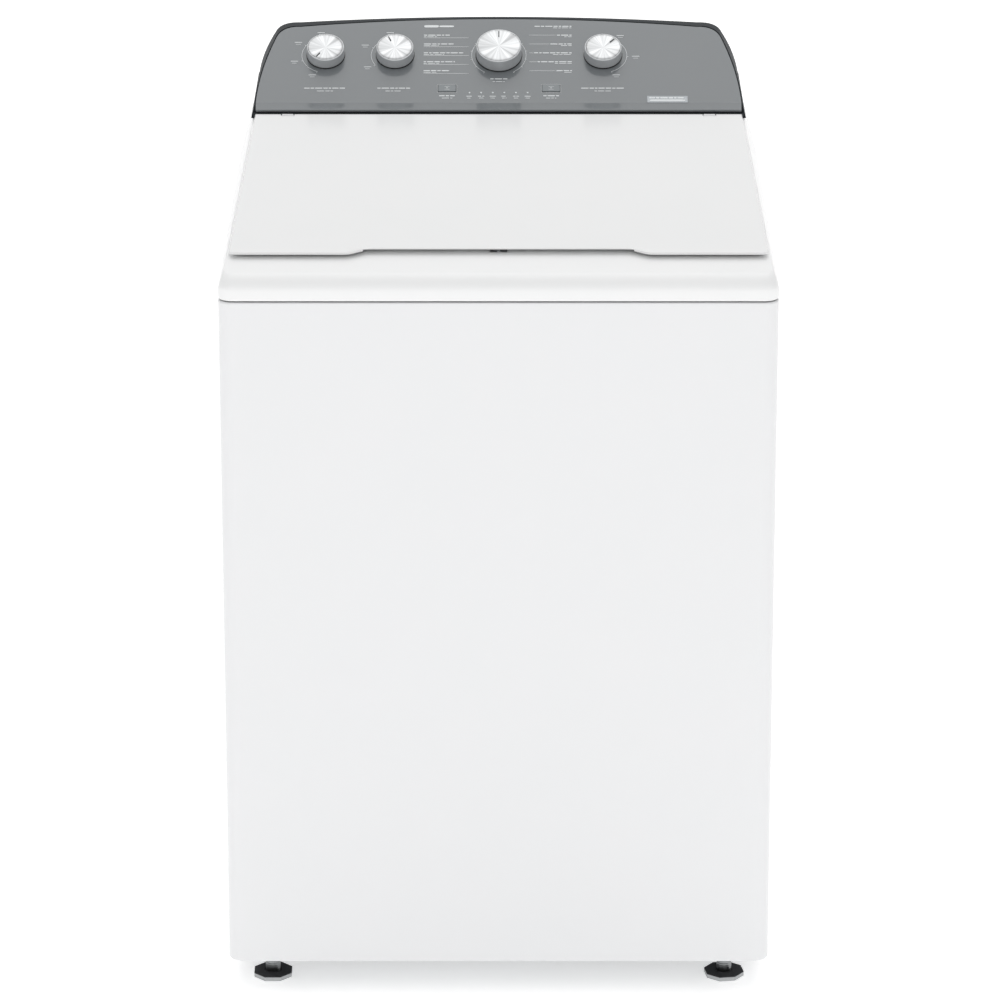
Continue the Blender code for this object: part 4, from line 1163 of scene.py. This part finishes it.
    def _cover_screws(self) -> None:
        """Fasten the console's rear cover with five screws."""
        low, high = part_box("console_rear_cover")
        turn = Matrix.Rotation(-math.pi / 2, 4, "X")
        rise = low.z + self.cover_screw_rise
        places = [Matrix.Translation((x, high.y - 0.0001, rise)) @ turn for x in self.cover_screw_places]
        screws = copies(hexagon_screw(0.0030, 0.0016), places)
        hand_over(screws, "rear_cover_screws", "cabinet", SCREW_ZINC)


def button_place(name: str, panel: Panel) -> Point:
    """Return where a button's cap sits on the panel, in the panel's frame."""
    low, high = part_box(name)
    spot = panel.frame().inverted() @ ((low + high) / 2)
    return spot.x, spot.y


# --- Controls ---------------------------------------------------------------------------------


@dataclass
class Knob:
    """A turned knob: satin flank, spun and dished face, a pointer, and a black ring under its foot that paints the
    shade of the gap.
    """

    node: str
    pointer: float
    steps: int = 72
    dish: float = 0.0007
    chamfer: float = 0.0009
    flare: float = 0.0006
    lift: float = 0.0014
    shaft_radius: float = 0.0046
    shaft_length: float = 0.0180
    rim_width: float = 0.0012
    pointer_width: float = 0.0011
    pointer_share: float = 0.34
    map_scale: float = 40.0

    def build(self, panel: Panel) -> None:
        """Build the knob on its own axis.

        Args:
            panel: The panel whose slope it stands on.
        """
        joint = JOINTS[f"{self.node}_turn"]
        frame = panel.frame()
        frame.translation = Vector(joint["pos_m"])
        flat = frame.inverted()
        points = [flat @ vert.co for vert in FRAME["nodes"][self.node].data.vertices]
        radius = max(point.x for point in points)
        height = max(point.z for point in points)
        self._flank(frame, radius, height)
        self._face(frame, radius, height)
        self._pointer(frame, radius, height)
        self._painted_gap_shade(frame, radius)

    def _flank(self, frame: Matrix, radius: float, height: float) -> None:
        """Turn the flank with its foot, its shaft and the ring round the face."""
        body = cylinder(radius - self.flare, self.lift, height - self.flare, self.steps)
        with editing(body):
            pick(body, "FACE", lambda c, n: n.z > ALIGNED)
            bpy.ops.mesh.inset(thickness=self.rim_width, depth=0)
            bpy.ops.mesh.extrude_region_move(TRANSFORM_OT_translate={"value": (0, 0, -self.rim_width)})
            pick(body, "FACE", lambda c, n: n.z < -ALIGNED)
            bpy.ops.mesh.inset(thickness=radius - self.shaft_radius, depth=0)
            bpy.ops.mesh.extrude_region_move(TRANSFORM_OT_translate={"value": (0, 0, -self.shaft_length)})
        with editing(body, "VERT"):
            pick(body, "VERT", lambda c, n: 0 < c.z < 0.003 and math.hypot(c.x, c.y) > radius - 0.002)
            share = 1 + self.flare / radius
            bpy.ops.transform.resize(value=(share, share, 1), center_override=(0, 0, 0))
        bevel_edges(
            body,
            lambda c, d: c.z > height - 0.0007 and math.hypot(c.x, c.y) > radius - 0.0012,
            self.chamfer,
            4,
        )
        bevel_edges(body, lambda c, d: 0 < c.z < 0.0015 and math.hypot(c.x, c.y) > radius - 0.002, 0.0008)
        soften(body)
        move_by(body, frame)
        hand_over(body, f"{self.node}_flank", self.node, SATIN_FLANK, [self.node])

    def _face(self, frame: Matrix, radius: float, height: float) -> None:
        """Spin the bright face: a rounded rim that falls into a shallow dish."""
        rim = radius - 0.0019
        profile = []
        for share in (0.0, 0.25, 0.5, 0.75, 0.92):
            profile.append((rim * share, height - self.flare - self.dish * (1 - share**2)))
        profile += [(rim - 0.0006, height - 0.0002), (rim - 0.0002, height - 0.0004), (rim, height - 0.0009)]
        profile += [(rim, height - 0.0017), (0.0, height - 0.0017)]
        face = lathe(profile, self.steps)
        self._wind_map(face)
        soften(face, 40, weighted=False)
        move_by(face, frame)
        hand_over(face, f"{self.node}_face", self.node, SPUN_FACE)

    def _wind_map(self, face: bpy.types.Object) -> None:
        """Give the face a map that runs round its axis, which the grooves follow."""
        layer = face.data.uv_layers.new(name="lathe")
        for polygon in face.data.polygons:
            middle = math.atan2(polygon.center.y, polygon.center.x)
            for loop in polygon.loop_indices:
                point = face.data.vertices[face.data.loops[loop].vertex_index].co
                distance = math.hypot(point.x, point.y)
                angle = math.atan2(point.y, point.x) if distance > 1e-6 else middle
                if angle - middle > math.pi:
                    angle -= math.tau
                if middle - angle > math.pi:
                    angle += math.tau
                layer.data[loop].uv = (angle / math.tau + 0.5, distance * self.map_scale)

    def _pointer(self, frame: Matrix, radius: float, height: float) -> None:
        """Lay a dark pointer near the rim of the face."""
        length = radius * self.pointer_share
        bar = cube((self.pointer_width, length, 0.0005), (0, radius - 0.0040 - length / 2, height - 0.0005))
        bevel_edges(bar, lambda c, d: abs(d.z) > ALIGNED, 0.0005, 3)
        turn = Matrix.Rotation(math.radians(-self.pointer), 4, "Z")
        soften(bar)
        move_by(bar, frame @ turn)
        hand_over(bar, f"{self.node}_pointer", self.node, CHARCOAL_ABS)

    def _painted_gap_shade(self, frame: Matrix, radius: float) -> None:
        """Turn a black ring on the panel under the knob: painted shade for the gap at the knob's foot."""
        profile = [
            (radius - 0.0060, 0.0001),
            (radius + 0.0004, 0.0001),
            (radius + 0.0006, 0.0004),
            (radius + 0.0002, 0.0008),
            (radius - 0.0060, 0.0009),
        ]
        shade_ring = lathe(profile, self.steps)
        soften(shade_ring, 40, weighted=False)
        move_by(shade_ring, frame)
        hand_over(shade_ring, f"{self.node}_painted_gap_shade", "cabinet", GAP_SHADE_BLACK)


@dataclass
class Button:
    """A flush push button with a softly edged cap and a printed mark.

    Each stroke of the mark is its middle across and up, its length and its thickness.
    """

    node: str
    size: Size = (0.0240, 0.0125, 0.0060)
    sunk: float = 0.0020
    corner: float = 0.0012
    edge: float = 0.0006
    strokes: tuple[Mark, ...] = (
        (0.0, 0.0026, 0.0070, 0.0004),
        (0.0, -0.0026, 0.0070, 0.0004),
        (0.0, 0.0, 0.0024, 0.0010),
    )
    print_height: float = 0.00092

    def build(self, panel: Panel) -> None:
        """Build the cap and its mark.

        Args:
            panel: The panel it sits in.
        """
        x, t = button_place(self.node, panel)
        cap = cube(self.size, (x, t, -self.sunk))
        bevel_edges(cap, lambda c, d: abs(d.z) > ALIGNED, self.corner, 4)
        bevel_edges(cap, lambda c, d: c.z > 0.0009, self.edge)
        soften(cap)
        move_by(cap, panel.frame())
        hand_over(cap, f"{self.node}_cap", self.node, BUTTON_ABS, [self.node])
        strokes = [(x + across, t + up, length, thick) for across, up, length, thick in self.strokes]
        mark = Legend.print_marks(strokes, self.print_height)
        move_by(mark, panel.frame())
        hand_over(mark, f"{self.node}_mark", self.node, INK)


@dataclass
class Legend:
    """The printed marks of the fascia: rows of short dashes that stand for words, and arcs.

    Everything is generic: a caption is a row of dashes with no letters.
    """

    panel: Panel = field(default_factory=Panel)
    word_lengths: tuple[float, ...] = (0.0075, 0.0045, 0.0100, 0.0060, 0.0034, 0.0086)
    word_gap: float = 0.0012
    stroke: float = 0.0016
    first_row: float = 0.1416
    row_pitch: float = 0.0165
    left_reaches: tuple[float, ...] = (0.040, 0.035, 0.040, 0.055, 0.042, 0.035)
    right_reaches: tuple[float, ...] = (0.050, 0.020, 0.029, 0.051, 0.046, 0.021)
    rows_outer: float = 0.1005
    rows_right: float = 0.0983
    rows_inner: float = 0.0400
    knob_captions: tuple[Point, ...] = ((-0.2597, -0.2037), (-0.1620, -0.1180), (0.1102, 0.1676))
    small: float = 0.0009
    medium: float = 0.0010
    hairline: float = 0.00050
    small_scale: float = 0.0320
    large_scale: float = 0.0365
    frame: Point = (0.0262, 0.0148)
    frame_line: float = 0.0003

    @staticmethod
    def dash() -> bpy.types.Object:
        """Return a dash of unit length and thickness, as thin as ink, with rounded ends."""
        dash = cube((1.0, 1.0, 0.00022), (0, 0, 0.00001))
        bevel_edges(dash, lambda c, d: abs(d.z) > ALIGNED, 0.2, 2)
        return dash

    @staticmethod
    def print_marks(marks: Sequence[Mark], height: float = 0.0) -> bpy.types.Object:
        """Print dashes on the panel's plane.

        Args:
            marks: Each dash's middle across and up, its length and its thickness.
            height: The height of the surface that carries them.

        Returns:
            The joined dashes, in the panel's frame.
        """
        places = [
            Matrix.Translation((x, t, height)) @ Matrix.Diagonal((length, thick, 1.0, 1.0))
            for x, t, length, thick in marks
        ]
        return copies(Legend.dash(), places)

    def caption(self, left: float, right: float, t: float, start: int = 0, thick: float = 0.0) -> list[Mark]:
        """Set a row of word-long dashes between two places.

        Args:
            left: Where the row starts.
            right: Where it ends.
            t: Its height up the panel.
            start: Which word length comes first.
            thick: The dash's thickness, or 0 for the usual stroke.

        Returns:
            The marks.
        """
        marks = []
        x = left
        index = start
        while x < right - self.word_gap:
            length = min(self.word_lengths[index % len(self.word_lengths)], right - x)
            marks.append((x + length / 2, t, length, thick or self.stroke))
            x += length + self.word_gap
            index += 1
        return marks

    def build(self) -> None:
        """Print every caption, leader and scale."""
        marks = []
        for index, (left, right) in enumerate(self.knob_captions):
            marks += self.caption(left, right, 0.0270, index)
            middle = (left + right) / 2
            marks += self.caption(middle - 0.011, middle + 0.011, 0.0218, index + 2, self.medium)
        marks += self.caption(-0.0110, 0.0118, 0.0440, 1)
        marks += self.caption(-0.0080, 0.0080, 0.0392, 4, self.small)
        marks += self._rows(-self.rows_outer, -self.rows_inner, False)
        marks += self._rows(self.rows_inner, self.rows_right, True)
        marks += self._lamp_labels() + self._button_labels()
        printed = self.print_marks(marks)
        move_by(printed, self.panel.frame())
        hand_over(printed, "printed_legend", "cabinet", INK)
        self._scales()
        self._button_frames()

    def _rows(self, left: float, right: float, right_aligned: bool) -> list[Mark]:
        """Set the programme rows beside the large knob, each with its small sub-line."""
        marks = []
        reaches = self.right_reaches if right_aligned else self.left_reaches
        for row, reach in enumerate(reaches):
            t = self.first_row - self.row_pitch * row
            start, end = (right - reach, right) if right_aligned else (left, left + reach)
            if row == 0 and not right_aligned:
                marks += [(left + 0.010, t, 0.0195, 0.0042), (left + 0.0305, t, 0.0195, 0.0030)]
                continue
            marks += self.caption(start, end, t, row)
            short = reach * 0.5
            low = (right - short, right) if right_aligned else (left, left + short)
            marks += self.caption(*low, t - 0.0030, row + 3, self.small)
            if row:
                if right_aligned:
                    marks.append(((start + left) / 2, t, start - left - 0.002, self.hairline))
                else:
                    marks.append(((left + right) / 2, t - 0.0050, right - left, self.hairline))
        return marks

    def _lamp_labels(self) -> list[Mark]:
        """Set two tiny lines under each indicator lamp."""
        marks = []
        for index, x in enumerate(Lamps().across()):
            marks += self.caption(x - 0.0042, x + 0.0042, 0.0122, index, 0.0012)
            marks += self.caption(x - 0.0030, x + 0.0030, 0.0088, index + 1, self.small)
        return marks

    def _button_labels(self) -> list[Mark]:
        """Set two lines under each button."""
        marks = []
        for index, name in enumerate(BUTTONS):
            x, t = button_place(name, self.panel)
            marks += self.caption(x - 0.0105, x + 0.0105, t - 0.0136, index)
            marks += self.caption(x - 0.0070, x + 0.0070, t - 0.0178, index + 2, self.medium)
        return marks

    def _scales(self) -> None:
        """Print the arcs and position ticks round each knob, and the leaders of the large one."""
        strokes = []
        scales = (
            ("knob_soil", self.small_scale, 95, 250, 4),
            ("knob_temperature", self.small_scale, 95, 215, 3),
            ("knob_rinse", self.small_scale, -70, 60, 3),
            ("knob_cycle", self.large_scale, -58, 58, 6),
            ("knob_cycle", self.large_scale, 122, 238, 6),
        )
        inverse = self.panel.frame().inverted()
        for name, radius, start, end, stops in scales:
            centre = inverse @ Vector(JOINTS[f"{name}_turn"]["pos_m"])
            pieces = round((end - start) / 6)
            for piece in range(pieces):
                angle = math.radians(start + (end - start) * (piece + 0.5) / pieces)
                length = radius * math.radians(end - start) / pieces * 1.02
                strokes.append((centre, radius, angle, length, self.hairline, True))
            for stop in range(stops):
                angle = math.radians(start + (end - start) * stop / (stops - 1))
                strokes.append((centre, radius + 0.0012, angle, 0.0020, 0.00055, False))
                if name != "knob_cycle":
                    strokes.append((centre, radius + 0.0085, angle, 0.0, 0.0, False))
        places = []
        for centre, radius, angle, length, thick, along in strokes:
            x, t = centre.x + radius * math.cos(angle), centre.y + radius * math.sin(angle)
            spot = Matrix.Translation((x, t, 0))
            if length == 0:
                side = 1 if math.cos(angle) > 0 else -1
                for row, (width, stroke) in enumerate(((0.0100, 0.0010), (0.0064, 0.0006))):
                    shift = Matrix.Translation((side * 0.0035, 0.0016 - 0.0036 * row, 0))
                    places.append(spot @ shift @ Matrix.Diagonal((width, stroke, 1, 1)))
                continue
            turn = Matrix.Rotation(angle + (math.pi / 2 if along else 0), 4, "Z")
            places.append(spot @ turn @ Matrix.Diagonal((length, thick, 1, 1)))
        printed = copies(self.dash(), places)
        move_by(printed, self.panel.frame())
        hand_over(printed, "printed_scales", "cabinet", INK)

    def _button_frames(self) -> None:
        """Print a thin outline round each button."""
        marks = []
        width, height = self.frame
        for name in BUTTONS:
            x, t = button_place(name, self.panel)
            for sign in (-1, 1):
                marks.append((x, t + sign * height / 2, width, self.frame_line))
                marks.append((x + sign * 0.0130, t, self.frame_line, height))
        printed = self.print_marks(marks)
        move_by(printed, self.panel.frame())
        hand_over(printed, "printed_frames", "cabinet", INK)


@dataclass
class Lamps:
    """The row of indicator lenses."""

    count: int = 6
    pitch: float = 0.0155
    place_t: float = 0.0187
    radius: float = 0.0013
    sunk: float = 0.0001
    proud: float = 0.0005

    def across(self) -> list[float]:
        """Return where each lens stands across the panel."""
        return [(index - (self.count - 1) / 2) * self.pitch for index in range(self.count)]

    def build(self, panel: Panel) -> None:
        """Build the domed lenses.

        Args:
            panel: The panel they stand in.
        """
        lens = cylinder(self.radius, -self.sunk, self.proud, 20)
        bevel_edges(lens, lambda c, d: c.z > 0.0004, 0.0004)
        soften(lens)
        lenses = copies(lens, [Matrix.Translation((x, self.place_t, 0)) for x in self.across()])
        move_by(lenses, panel.frame())
        hand_over(lenses, "lamp_lenses", "cabinet", LENS)


# --- Tub, basket and agitator -----------------------------------------------------------------


@dataclass
class WashTub:
    """The tub's cover ring, the perforated basket, its balance ring and the agitator."""

    hole_columns: int = 60
    hole_rows: int = 13
    steps: int = 96
    floor_rise: float = 0.0075
    wall_rise: float = 0.020
    sheet: float = 0.0010
    hole_margin: float = 0.27
    fins: int = 4
    fin_half: float = 0.003

    def build(self) -> None:
        """Build what shows when the lid is open."""
        self._basket()
        self._rings()
        self._agitator()

    def _basket(self) -> None:
        """Wrap the basket's wall from a cylinder, punch its holes, and add the floor."""
        low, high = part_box("wash_basket")
        radius = high.x
        foot = low.z + self.floor_rise + self.wall_rise
        wall = cylinder(radius, foot, high.z, self.hole_columns)
        with editing(wall):
            pick(wall, "FACE", lambda c, n: abs(n.z) > ALIGNED)
            bpy.ops.mesh.delete(type="FACE")
        with editing(wall, "EDGE"):
            pick(wall, "EDGE", lambda c, d: abs(d.z) > ALIGNED)
            bpy.ops.mesh.subdivide(number_cuts=self.hole_rows * 2)
        pitch = (high.z - foot) / (self.hole_rows * 2 + 1)
        with editing(wall):
            pick(wall, "FACE", lambda c, n: self._punched(c, foot, pitch))
            bpy.ops.mesh.inset(thickness=pitch * self.hole_margin, depth=0, use_individual=True)
            bpy.ops.mesh.delete(type="FACE")
        with editing(wall, "EDGE"):
            pick(wall, "EDGE", lambda c, d: abs(c.z - foot) < 0.0001)
            for inset, drop in ((0.003, 0.009), (0.010, 0.0075), (0.010, 0.0035), (0.164, 0.0)):
                radius -= inset
                self._draw_in(drop, radius / (radius + inset))
            self._draw_in(self.floor_rise, 0.85)
            self._draw_in(0.0, 0.4)
        clean(wall)
        use_modifier(wall, "SOLIDIFY", thickness=self.sheet, offset=-1.0, use_even_offset=False)
        soften(wall, 40, weighted=False)
        hand_over(wall, "basket_drum", "basket", STAINLESS, ["wash_basket"])

    @staticmethod
    def _draw_in(drop: float, share: float) -> None:
        """Extrude the selected ring down by a drop, and shrink it to a share of its width."""
        bpy.ops.mesh.extrude_region_move(TRANSFORM_OT_translate={"value": (0, 0, -drop)})
        bpy.ops.transform.resize(value=(share, share, 1), center_override=(0, 0, 0))

    def _punched(self, centre: Vector, low: float, pitch: float) -> bool:
        """Tell whether a facet of the drum's wall carries a hole: every other one, staggered."""
        row = int((centre.z - low) / pitch)
        column = round(math.atan2(centre.y, centre.x) / math.tau * self.hole_columns - 0.5)
        return 0 < row < self.hole_rows * 2 - 1 and row % 2 == 1 and (row // 2 + column) % 2 == 0

    def _rings(self) -> None:
        """Turn the balance ring and the tub's cover ring with rounded edges."""
        low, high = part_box("balance_ring")
        top = high.z
        profile = arc((0.2445, top - 0.0065), 0.0065, 180, 90, 5)
        profile += arc((0.2580, top - 0.0045), 0.0045, 90, 0, 5)
        profile += [(0.2640, low.z + 0.0060), (0.2620, low.z), (0.2420, low.z), (0.2380, low.z + 0.0060)]
        ring = lathe(profile, self.steps)
        soften(ring, 40, weighted=False)
        hand_over(ring, "balance_ring_turned", "basket", GREY_PP, ["balance_ring"])
        low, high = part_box("tub_ring")
        base = low.z
        profile = [
            (0.2920, base),
            (0.2920, base + 0.0117),
            (0.2905, base + 0.0142),
            (0.2850, base + 0.0167),
            (0.2310, base + 0.0245),
            (0.2290, base + 0.0242),
            (0.2280, base + 0.0230),
            (0.2280, base + 0.0077),
            (0.2310, base + 0.0077),
            (0.2310, base + 0.0212),
            (0.2835, base + 0.0137),
            (0.2890, base + 0.0102),
            (0.2890, base),
        ]
        cover = lathe(profile, self.steps)
        soften(cover, 40, weighted=False)
        hand_over(cover, "tub_cover_ring", "tub", TUB_PP, ["tub_ring"])

    def _agitator(self) -> None:
        """Turn the agitator's post, skirt and cap, and join on the curved fins."""
        profile = [(0.0, 0.6900), (0.0325, 0.6900), (0.0338, 0.6892), (0.0340, 0.6880)]
        profile += [(0.0352, 0.6200), (0.0370, 0.5600), (0.0402, 0.4950), (0.0450, 0.4400), (0.0520, 0.4130)]
        profile += [(0.0620, 0.3950), (0.0790, 0.3805), (0.1000, 0.3700), (0.1300, 0.3602), (0.1535, 0.3545)]
        profile += [(0.1556, 0.3525), (0.1560, 0.3490), (0.1500, 0.3480), (0.0980, 0.3640), (0.0560, 0.3880)]
        profile += [(0.0300, 0.3960), (0.0200, 0.3960), (0.0200, 0.3430), (0.0068, 0.3430), (0.0068, 0.4240)]
        profile += [(0.0, 0.4240)]
        post = lathe(profile, 72)
        fin_line = [(0.030, 0.596), (0.045, 0.590), (0.056, 0.572), (0.063, 0.535), (0.071, 0.496)]
        fin_line += [(0.088, 0.452), (0.112, 0.418), (0.140, 0.394), (0.147, 0.385), (0.148, 0.3575)]
        fin_line += [(0.098, 0.3680), (0.056, 0.3950), (0.030, 0.4600)]
        half = self.fin_half
        for place in range(self.fins):
            sides = [[Vector((r, y, z)) for r, z in fin_line] for y in (-half, half)]
            fin = ring_stack(sides, fill_last=True)
            with editing(fin, "EDGE"):
                pick(fin, "EDGE", lambda c, d: c.y < MERGE_DISTANCE - half)
                bpy.ops.mesh.edge_face_add()
            clean(fin)
            bevel_edges(fin, lambda c, d: abs(abs(c.y) - half) < MERGE_DISTANCE and c.x > 0.045, 0.0018)
            fin.data.transform(Matrix.Rotation(math.tau * place / self.fins, 4, "Z"))
            cut(post, fin, "UNION")
        soften(post, 35)
        hand_over(post, "agitator_post", "agitator", AGITATOR_PP, ["agitator"])
        low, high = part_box("agitator_cap")
        profile = [(0.0, high.z), (0.012, high.z - 0.0005), (0.0225, high.z - 0.0020)]
        profile += arc((0.0265, high.z - 0.0105), 0.0080, 75, 0, 6)
        profile += [(0.0345, low.z + 0.001), (0.0338, low.z), (0.0, low.z)]
        cap = lathe(profile, 64)
        soften(cap, 40, weighted=False)
        hand_over(cap, "agitator_cap_turned", "agitator", CAP_PP, ["agitator_cap"])


# --- Feet -------------------------------------------------------------------------------------


@dataclass
class FrontFoot:
    """A front levelling foot: an eight-sided flange with a raised socket for its screw. Its side is light grey as
    it looks lit, and its top is dark rubber as painted shade.
    """

    hand: str
    turn: float
    lit_side: float = 0.0056
    flange: float = 0.0066
    bevel: float = 0.0007
    sides: int = 8
    shoulder: Point = (0.0040, 0.0012)
    socket: float = 0.0100
    socket_wall: float = 0.0003
    socket_depth: float = 0.0020

    def build(self) -> None:
        """Build the flange at its screw."""
        low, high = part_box(f"foot_pad_front_{self.hand}")
        centre = (low + high) / 2
        half_side = math.tau / 2 / self.sides
        radius = (high.x - low.x) / 2 / math.cos(half_side)
        spin = Matrix.Rotation(half_side + math.radians(self.turn), 4, "Z")
        place = Matrix.Translation((centre.x, centre.y, 0)) @ spin
        # The flange's lower part in light grey: its side as it looks lit
        lit_side = cylinder(radius, low.z, low.z + self.lit_side, self.sides)
        bevel_edges(lit_side, lambda c, d: c.z < low.z + 0.0001, self.bevel, 3)
        soften(lit_side)
        move_by(lit_side, place)
        body = f"foot_pad_{self.hand}"
        hand_over(lit_side, f"foot_lit_side_{self.hand}", body, PAD_RUBBER)
        # The flange's top and socket in dark rubber: painted shade where the cabinet shades it
        pad = cylinder(radius, low.z + self.lit_side, low.z + self.flange, self.sides)
        with editing(pad):
            pick(pad, "FACE", lambda c, n: n.z > ALIGNED)
            bpy.ops.mesh.inset(thickness=self.shoulder[0], depth=0)
            bpy.ops.transform.translate(value=(0, 0, self.shoulder[1]))
            bpy.ops.mesh.inset(thickness=self.socket, depth=0)
            bpy.ops.mesh.inset(thickness=self.socket_wall, depth=0)
            bpy.ops.transform.translate(value=(0, 0, -self.socket_depth))
        soften(pad)
        move_by(pad, place)
        hand_over(pad, f"foot_painted_shade_top_{self.hand}", body, RUBBER, [f"foot_pad_front_{self.hand}"])


# --- Pieces carried over from the frame -------------------------------------------------------


def four(stem: str) -> list[str]:
    """Return the names of the four nodes that stand at the machine's corners."""
    return [f"{stem}_{end}_{hand}" for end in ("front", "rear") for hand in HANDS]


@dataclass
class CarriedParts:
    """The frame's own round parts, smoothed, and its plain parts, dressed as they are."""

    smoothed: dict[str, Finish] = field(
        default_factory=lambda: {
            "outer_tub": TUB_PP,
            "basket_hub": CAST_ALUMINIUM,
            "drive_shaft": STEEL,
            "gearcase": CAST_ALUMINIUM,
            "motor": MOTOR_PAINT,
            "drain_pump": GREY_PP,
            "drive_pulley": CAST_ALUMINIUM,
            "motor_pulley": STEEL,
            "drain_port": GREY_PP,
            "power_inlet_gland": RUBBER,
            "inlet_valve": GREY_PP,
            "fill_hose": RUBBER,
            "drive_belt": RUBBER,
            "foot_screw_front_left": THREADED,
            "foot_screw_front_right": THREADED,
            **dict.fromkeys(four("suspension_rod"), STEEL),
        }
    )
    plain: dict[str, Finish] = field(
        default_factory=lambda: {
            "rear_panel": ZINC,
            "top_brace_left": ZINC,
            "top_brace_right": ZINC,
            "base_rail_front": ZINC,
            "base_rail_rear": ZINC,
            "console_rear_cover": ZINC,
            "drive_plate": ZINC,
            "foot_rear_left": RUBBER,
            "foot_rear_right": RUBBER,
            "control_board": BOARD,
            "lamp_light_guide": LENS,
            "water_spout": GREY_PP,
            "lid_lock": GREY_PP,
            "lid_lock_bolt": STEEL,
            "lid_strike": STEEL,
            "hinge_bracket_left": ENAMEL,
            "hinge_bracket_right": ENAMEL,
            "drain_hose": RUBBER,
            **dict.fromkeys(four("suspension_spring"), STEEL),
        }
    )

    def build(self) -> None:
        """Dress every part that no new piece stands for."""
        bodies = FRAME["record"]["behaviour"]["bodies"]
        owners = {node: body for body, nodes in bodies.items() for node in nodes}
        for node, finish in self.smoothed.items():
            source = FRAME["nodes"][node]
            piece = bpy.data.objects.new(f"{node}_skin", source.data.copy())
            bpy.context.scene.collection.objects.link(piece)
            with editing(piece, "VERT"):
                bpy.ops.mesh.select_all(action="SELECT")
                bpy.ops.mesh.remove_doubles(threshold=MERGE_DISTANCE)
            soften(piece, 38, weighted=False)
            hand_over(piece, f"{node}_skin", owners[node], finish, [node])
        for node, finish in self.plain.items():
            data = FRAME["nodes"][node].data
            data.materials.clear()
            data.materials.append(finish.build())
            LOG.info("%s keeps its own shape", node)


# --- Studio -----------------------------------------------------------------------------------


@dataclass
class Studio:
    """The floor, the lights and the camera.

    The sky falls off towards the machine's two sides.
    """

    distance: float = 6.7703
    height: float = 2.885
    pitch: float = 0.331
    lens: float = 194.3
    shift_x: float = 0.0019
    sky: float = 0.78
    side_share: float = 0.40

    def build(self) -> None:
        """Build the floor, the lights and the camera."""
        drop_selection()
        bpy.ops.mesh.primitive_plane_add(size=60.0, location=(0, 0, -0.0005))
        floor = bpy.context.object
        floor.name = "studio_floor"
        floor.data.materials.append(FLOOR_PAINT.build())
        scene = bpy.context.scene
        scene.view_settings.view_transform = "Standard"
        world = bpy.data.worlds.new("studio_sky")
        world.use_nodes = True
        scene.world = world
        tree = world.node_tree
        sky = tree.nodes["Background"]
        sky.inputs["Color"].default_value = (1.0, 1.0, 1.0, 1.0)
        place = add_node(tree, "ShaderNodeTexCoord")
        split = add_node(tree, "ShaderNodeSeparateXYZ", links={0: place.outputs["Generated"]})
        square = add_node(tree, "ShaderNodeMath", {"operation": "POWER", 1: 2.0}, {0: split.outputs["X"]})
        falloff = add_node(
            tree,
            "ShaderNodeMapRange",
            {"To Min": self.sky, "To Max": self.sky * self.side_share},
            {"Value": square.outputs[0]},
        )
        tree.links.new(falloff.outputs[0], sky.inputs["Strength"])
        self._soft_box("overhead_box", place=(0.0, 0.62, 3.6), size=2.2, power=14.0)
        self._sun("back_light", source=(0.0, 0.64, 0.77), strength=0.60, width=35.0)
        self._sun("front_fill", source=(0.0, -1.0, 0.45), strength=0.10, width=30.0)
        camera = bpy.data.cameras.new("camera")
        camera.lens = self.lens
        camera.sensor_width = 36.0
        camera.clip_end = 100.0
        viewer = bpy.data.objects.new("camera", camera)
        viewer.location = (self.shift_x, -self.distance, self.height)
        viewer.rotation_euler = (math.pi / 2 - self.pitch, 0, 0)
        scene.collection.objects.link(viewer)
        scene.camera = viewer

    def _soft_box(self, name: str, place: Sequence[float], size: float, power: float) -> None:
        """Hang a square soft light over the machine, facing straight down.

        Args:
            name: The light's name.
            place: Its centre.
            size: The length of its side.
            power: Its power in watts.
        """
        light = bpy.data.lights.new(name, "AREA")
        light.shape = "SQUARE"
        light.size = size
        light.energy = power
        lamp = bpy.data.objects.new(name, light)
        lamp.location = place
        bpy.context.scene.collection.objects.link(lamp)

    def _sun(self, name: str, source: Sequence[float], strength: float, width: float) -> None:
        """Light the set from one direction.

        Args:
            name: The light's name.
            source: The direction that the light comes from.
            strength: Its strength.
            width: How wide it looks, in degrees, which softens its shadows.
        """
        light = bpy.data.lights.new(name, "SUN")
        light.energy = strength
        light.angle = math.radians(width)
        lamp = bpy.data.objects.new(name, light)
        lamp.rotation_euler = Vector(source).to_track_quat("Z", "Y").to_euler()
        lamp.visible_glossy = False
        bpy.context.scene.collection.objects.link(lamp)


def main() -> None:
    """Build the washing machine's visible pieces in order, and the studio round it."""
    logging.basicConfig(level=logging.INFO, format="%(name)s: %(message)s")
    panel = Panel()
    Studio().build()
    Cabinet().build()
    Deck().build()
    Lid().build()
    Console(panel).build()
    for node, pointer in KNOB_POINTERS.items():
        Knob(node, pointer).build(panel)
    for node in BUTTONS:
        Button(node).build(panel)
    Lamps().build(panel)
    Legend(panel).build()
    WashTub().build()
    for hand, turn in zip(HANDS, (0.0, 9.0)):
        FrontFoot(hand, turn).build()
    CarriedParts().build()


if __name__ == "__main__":
    main()
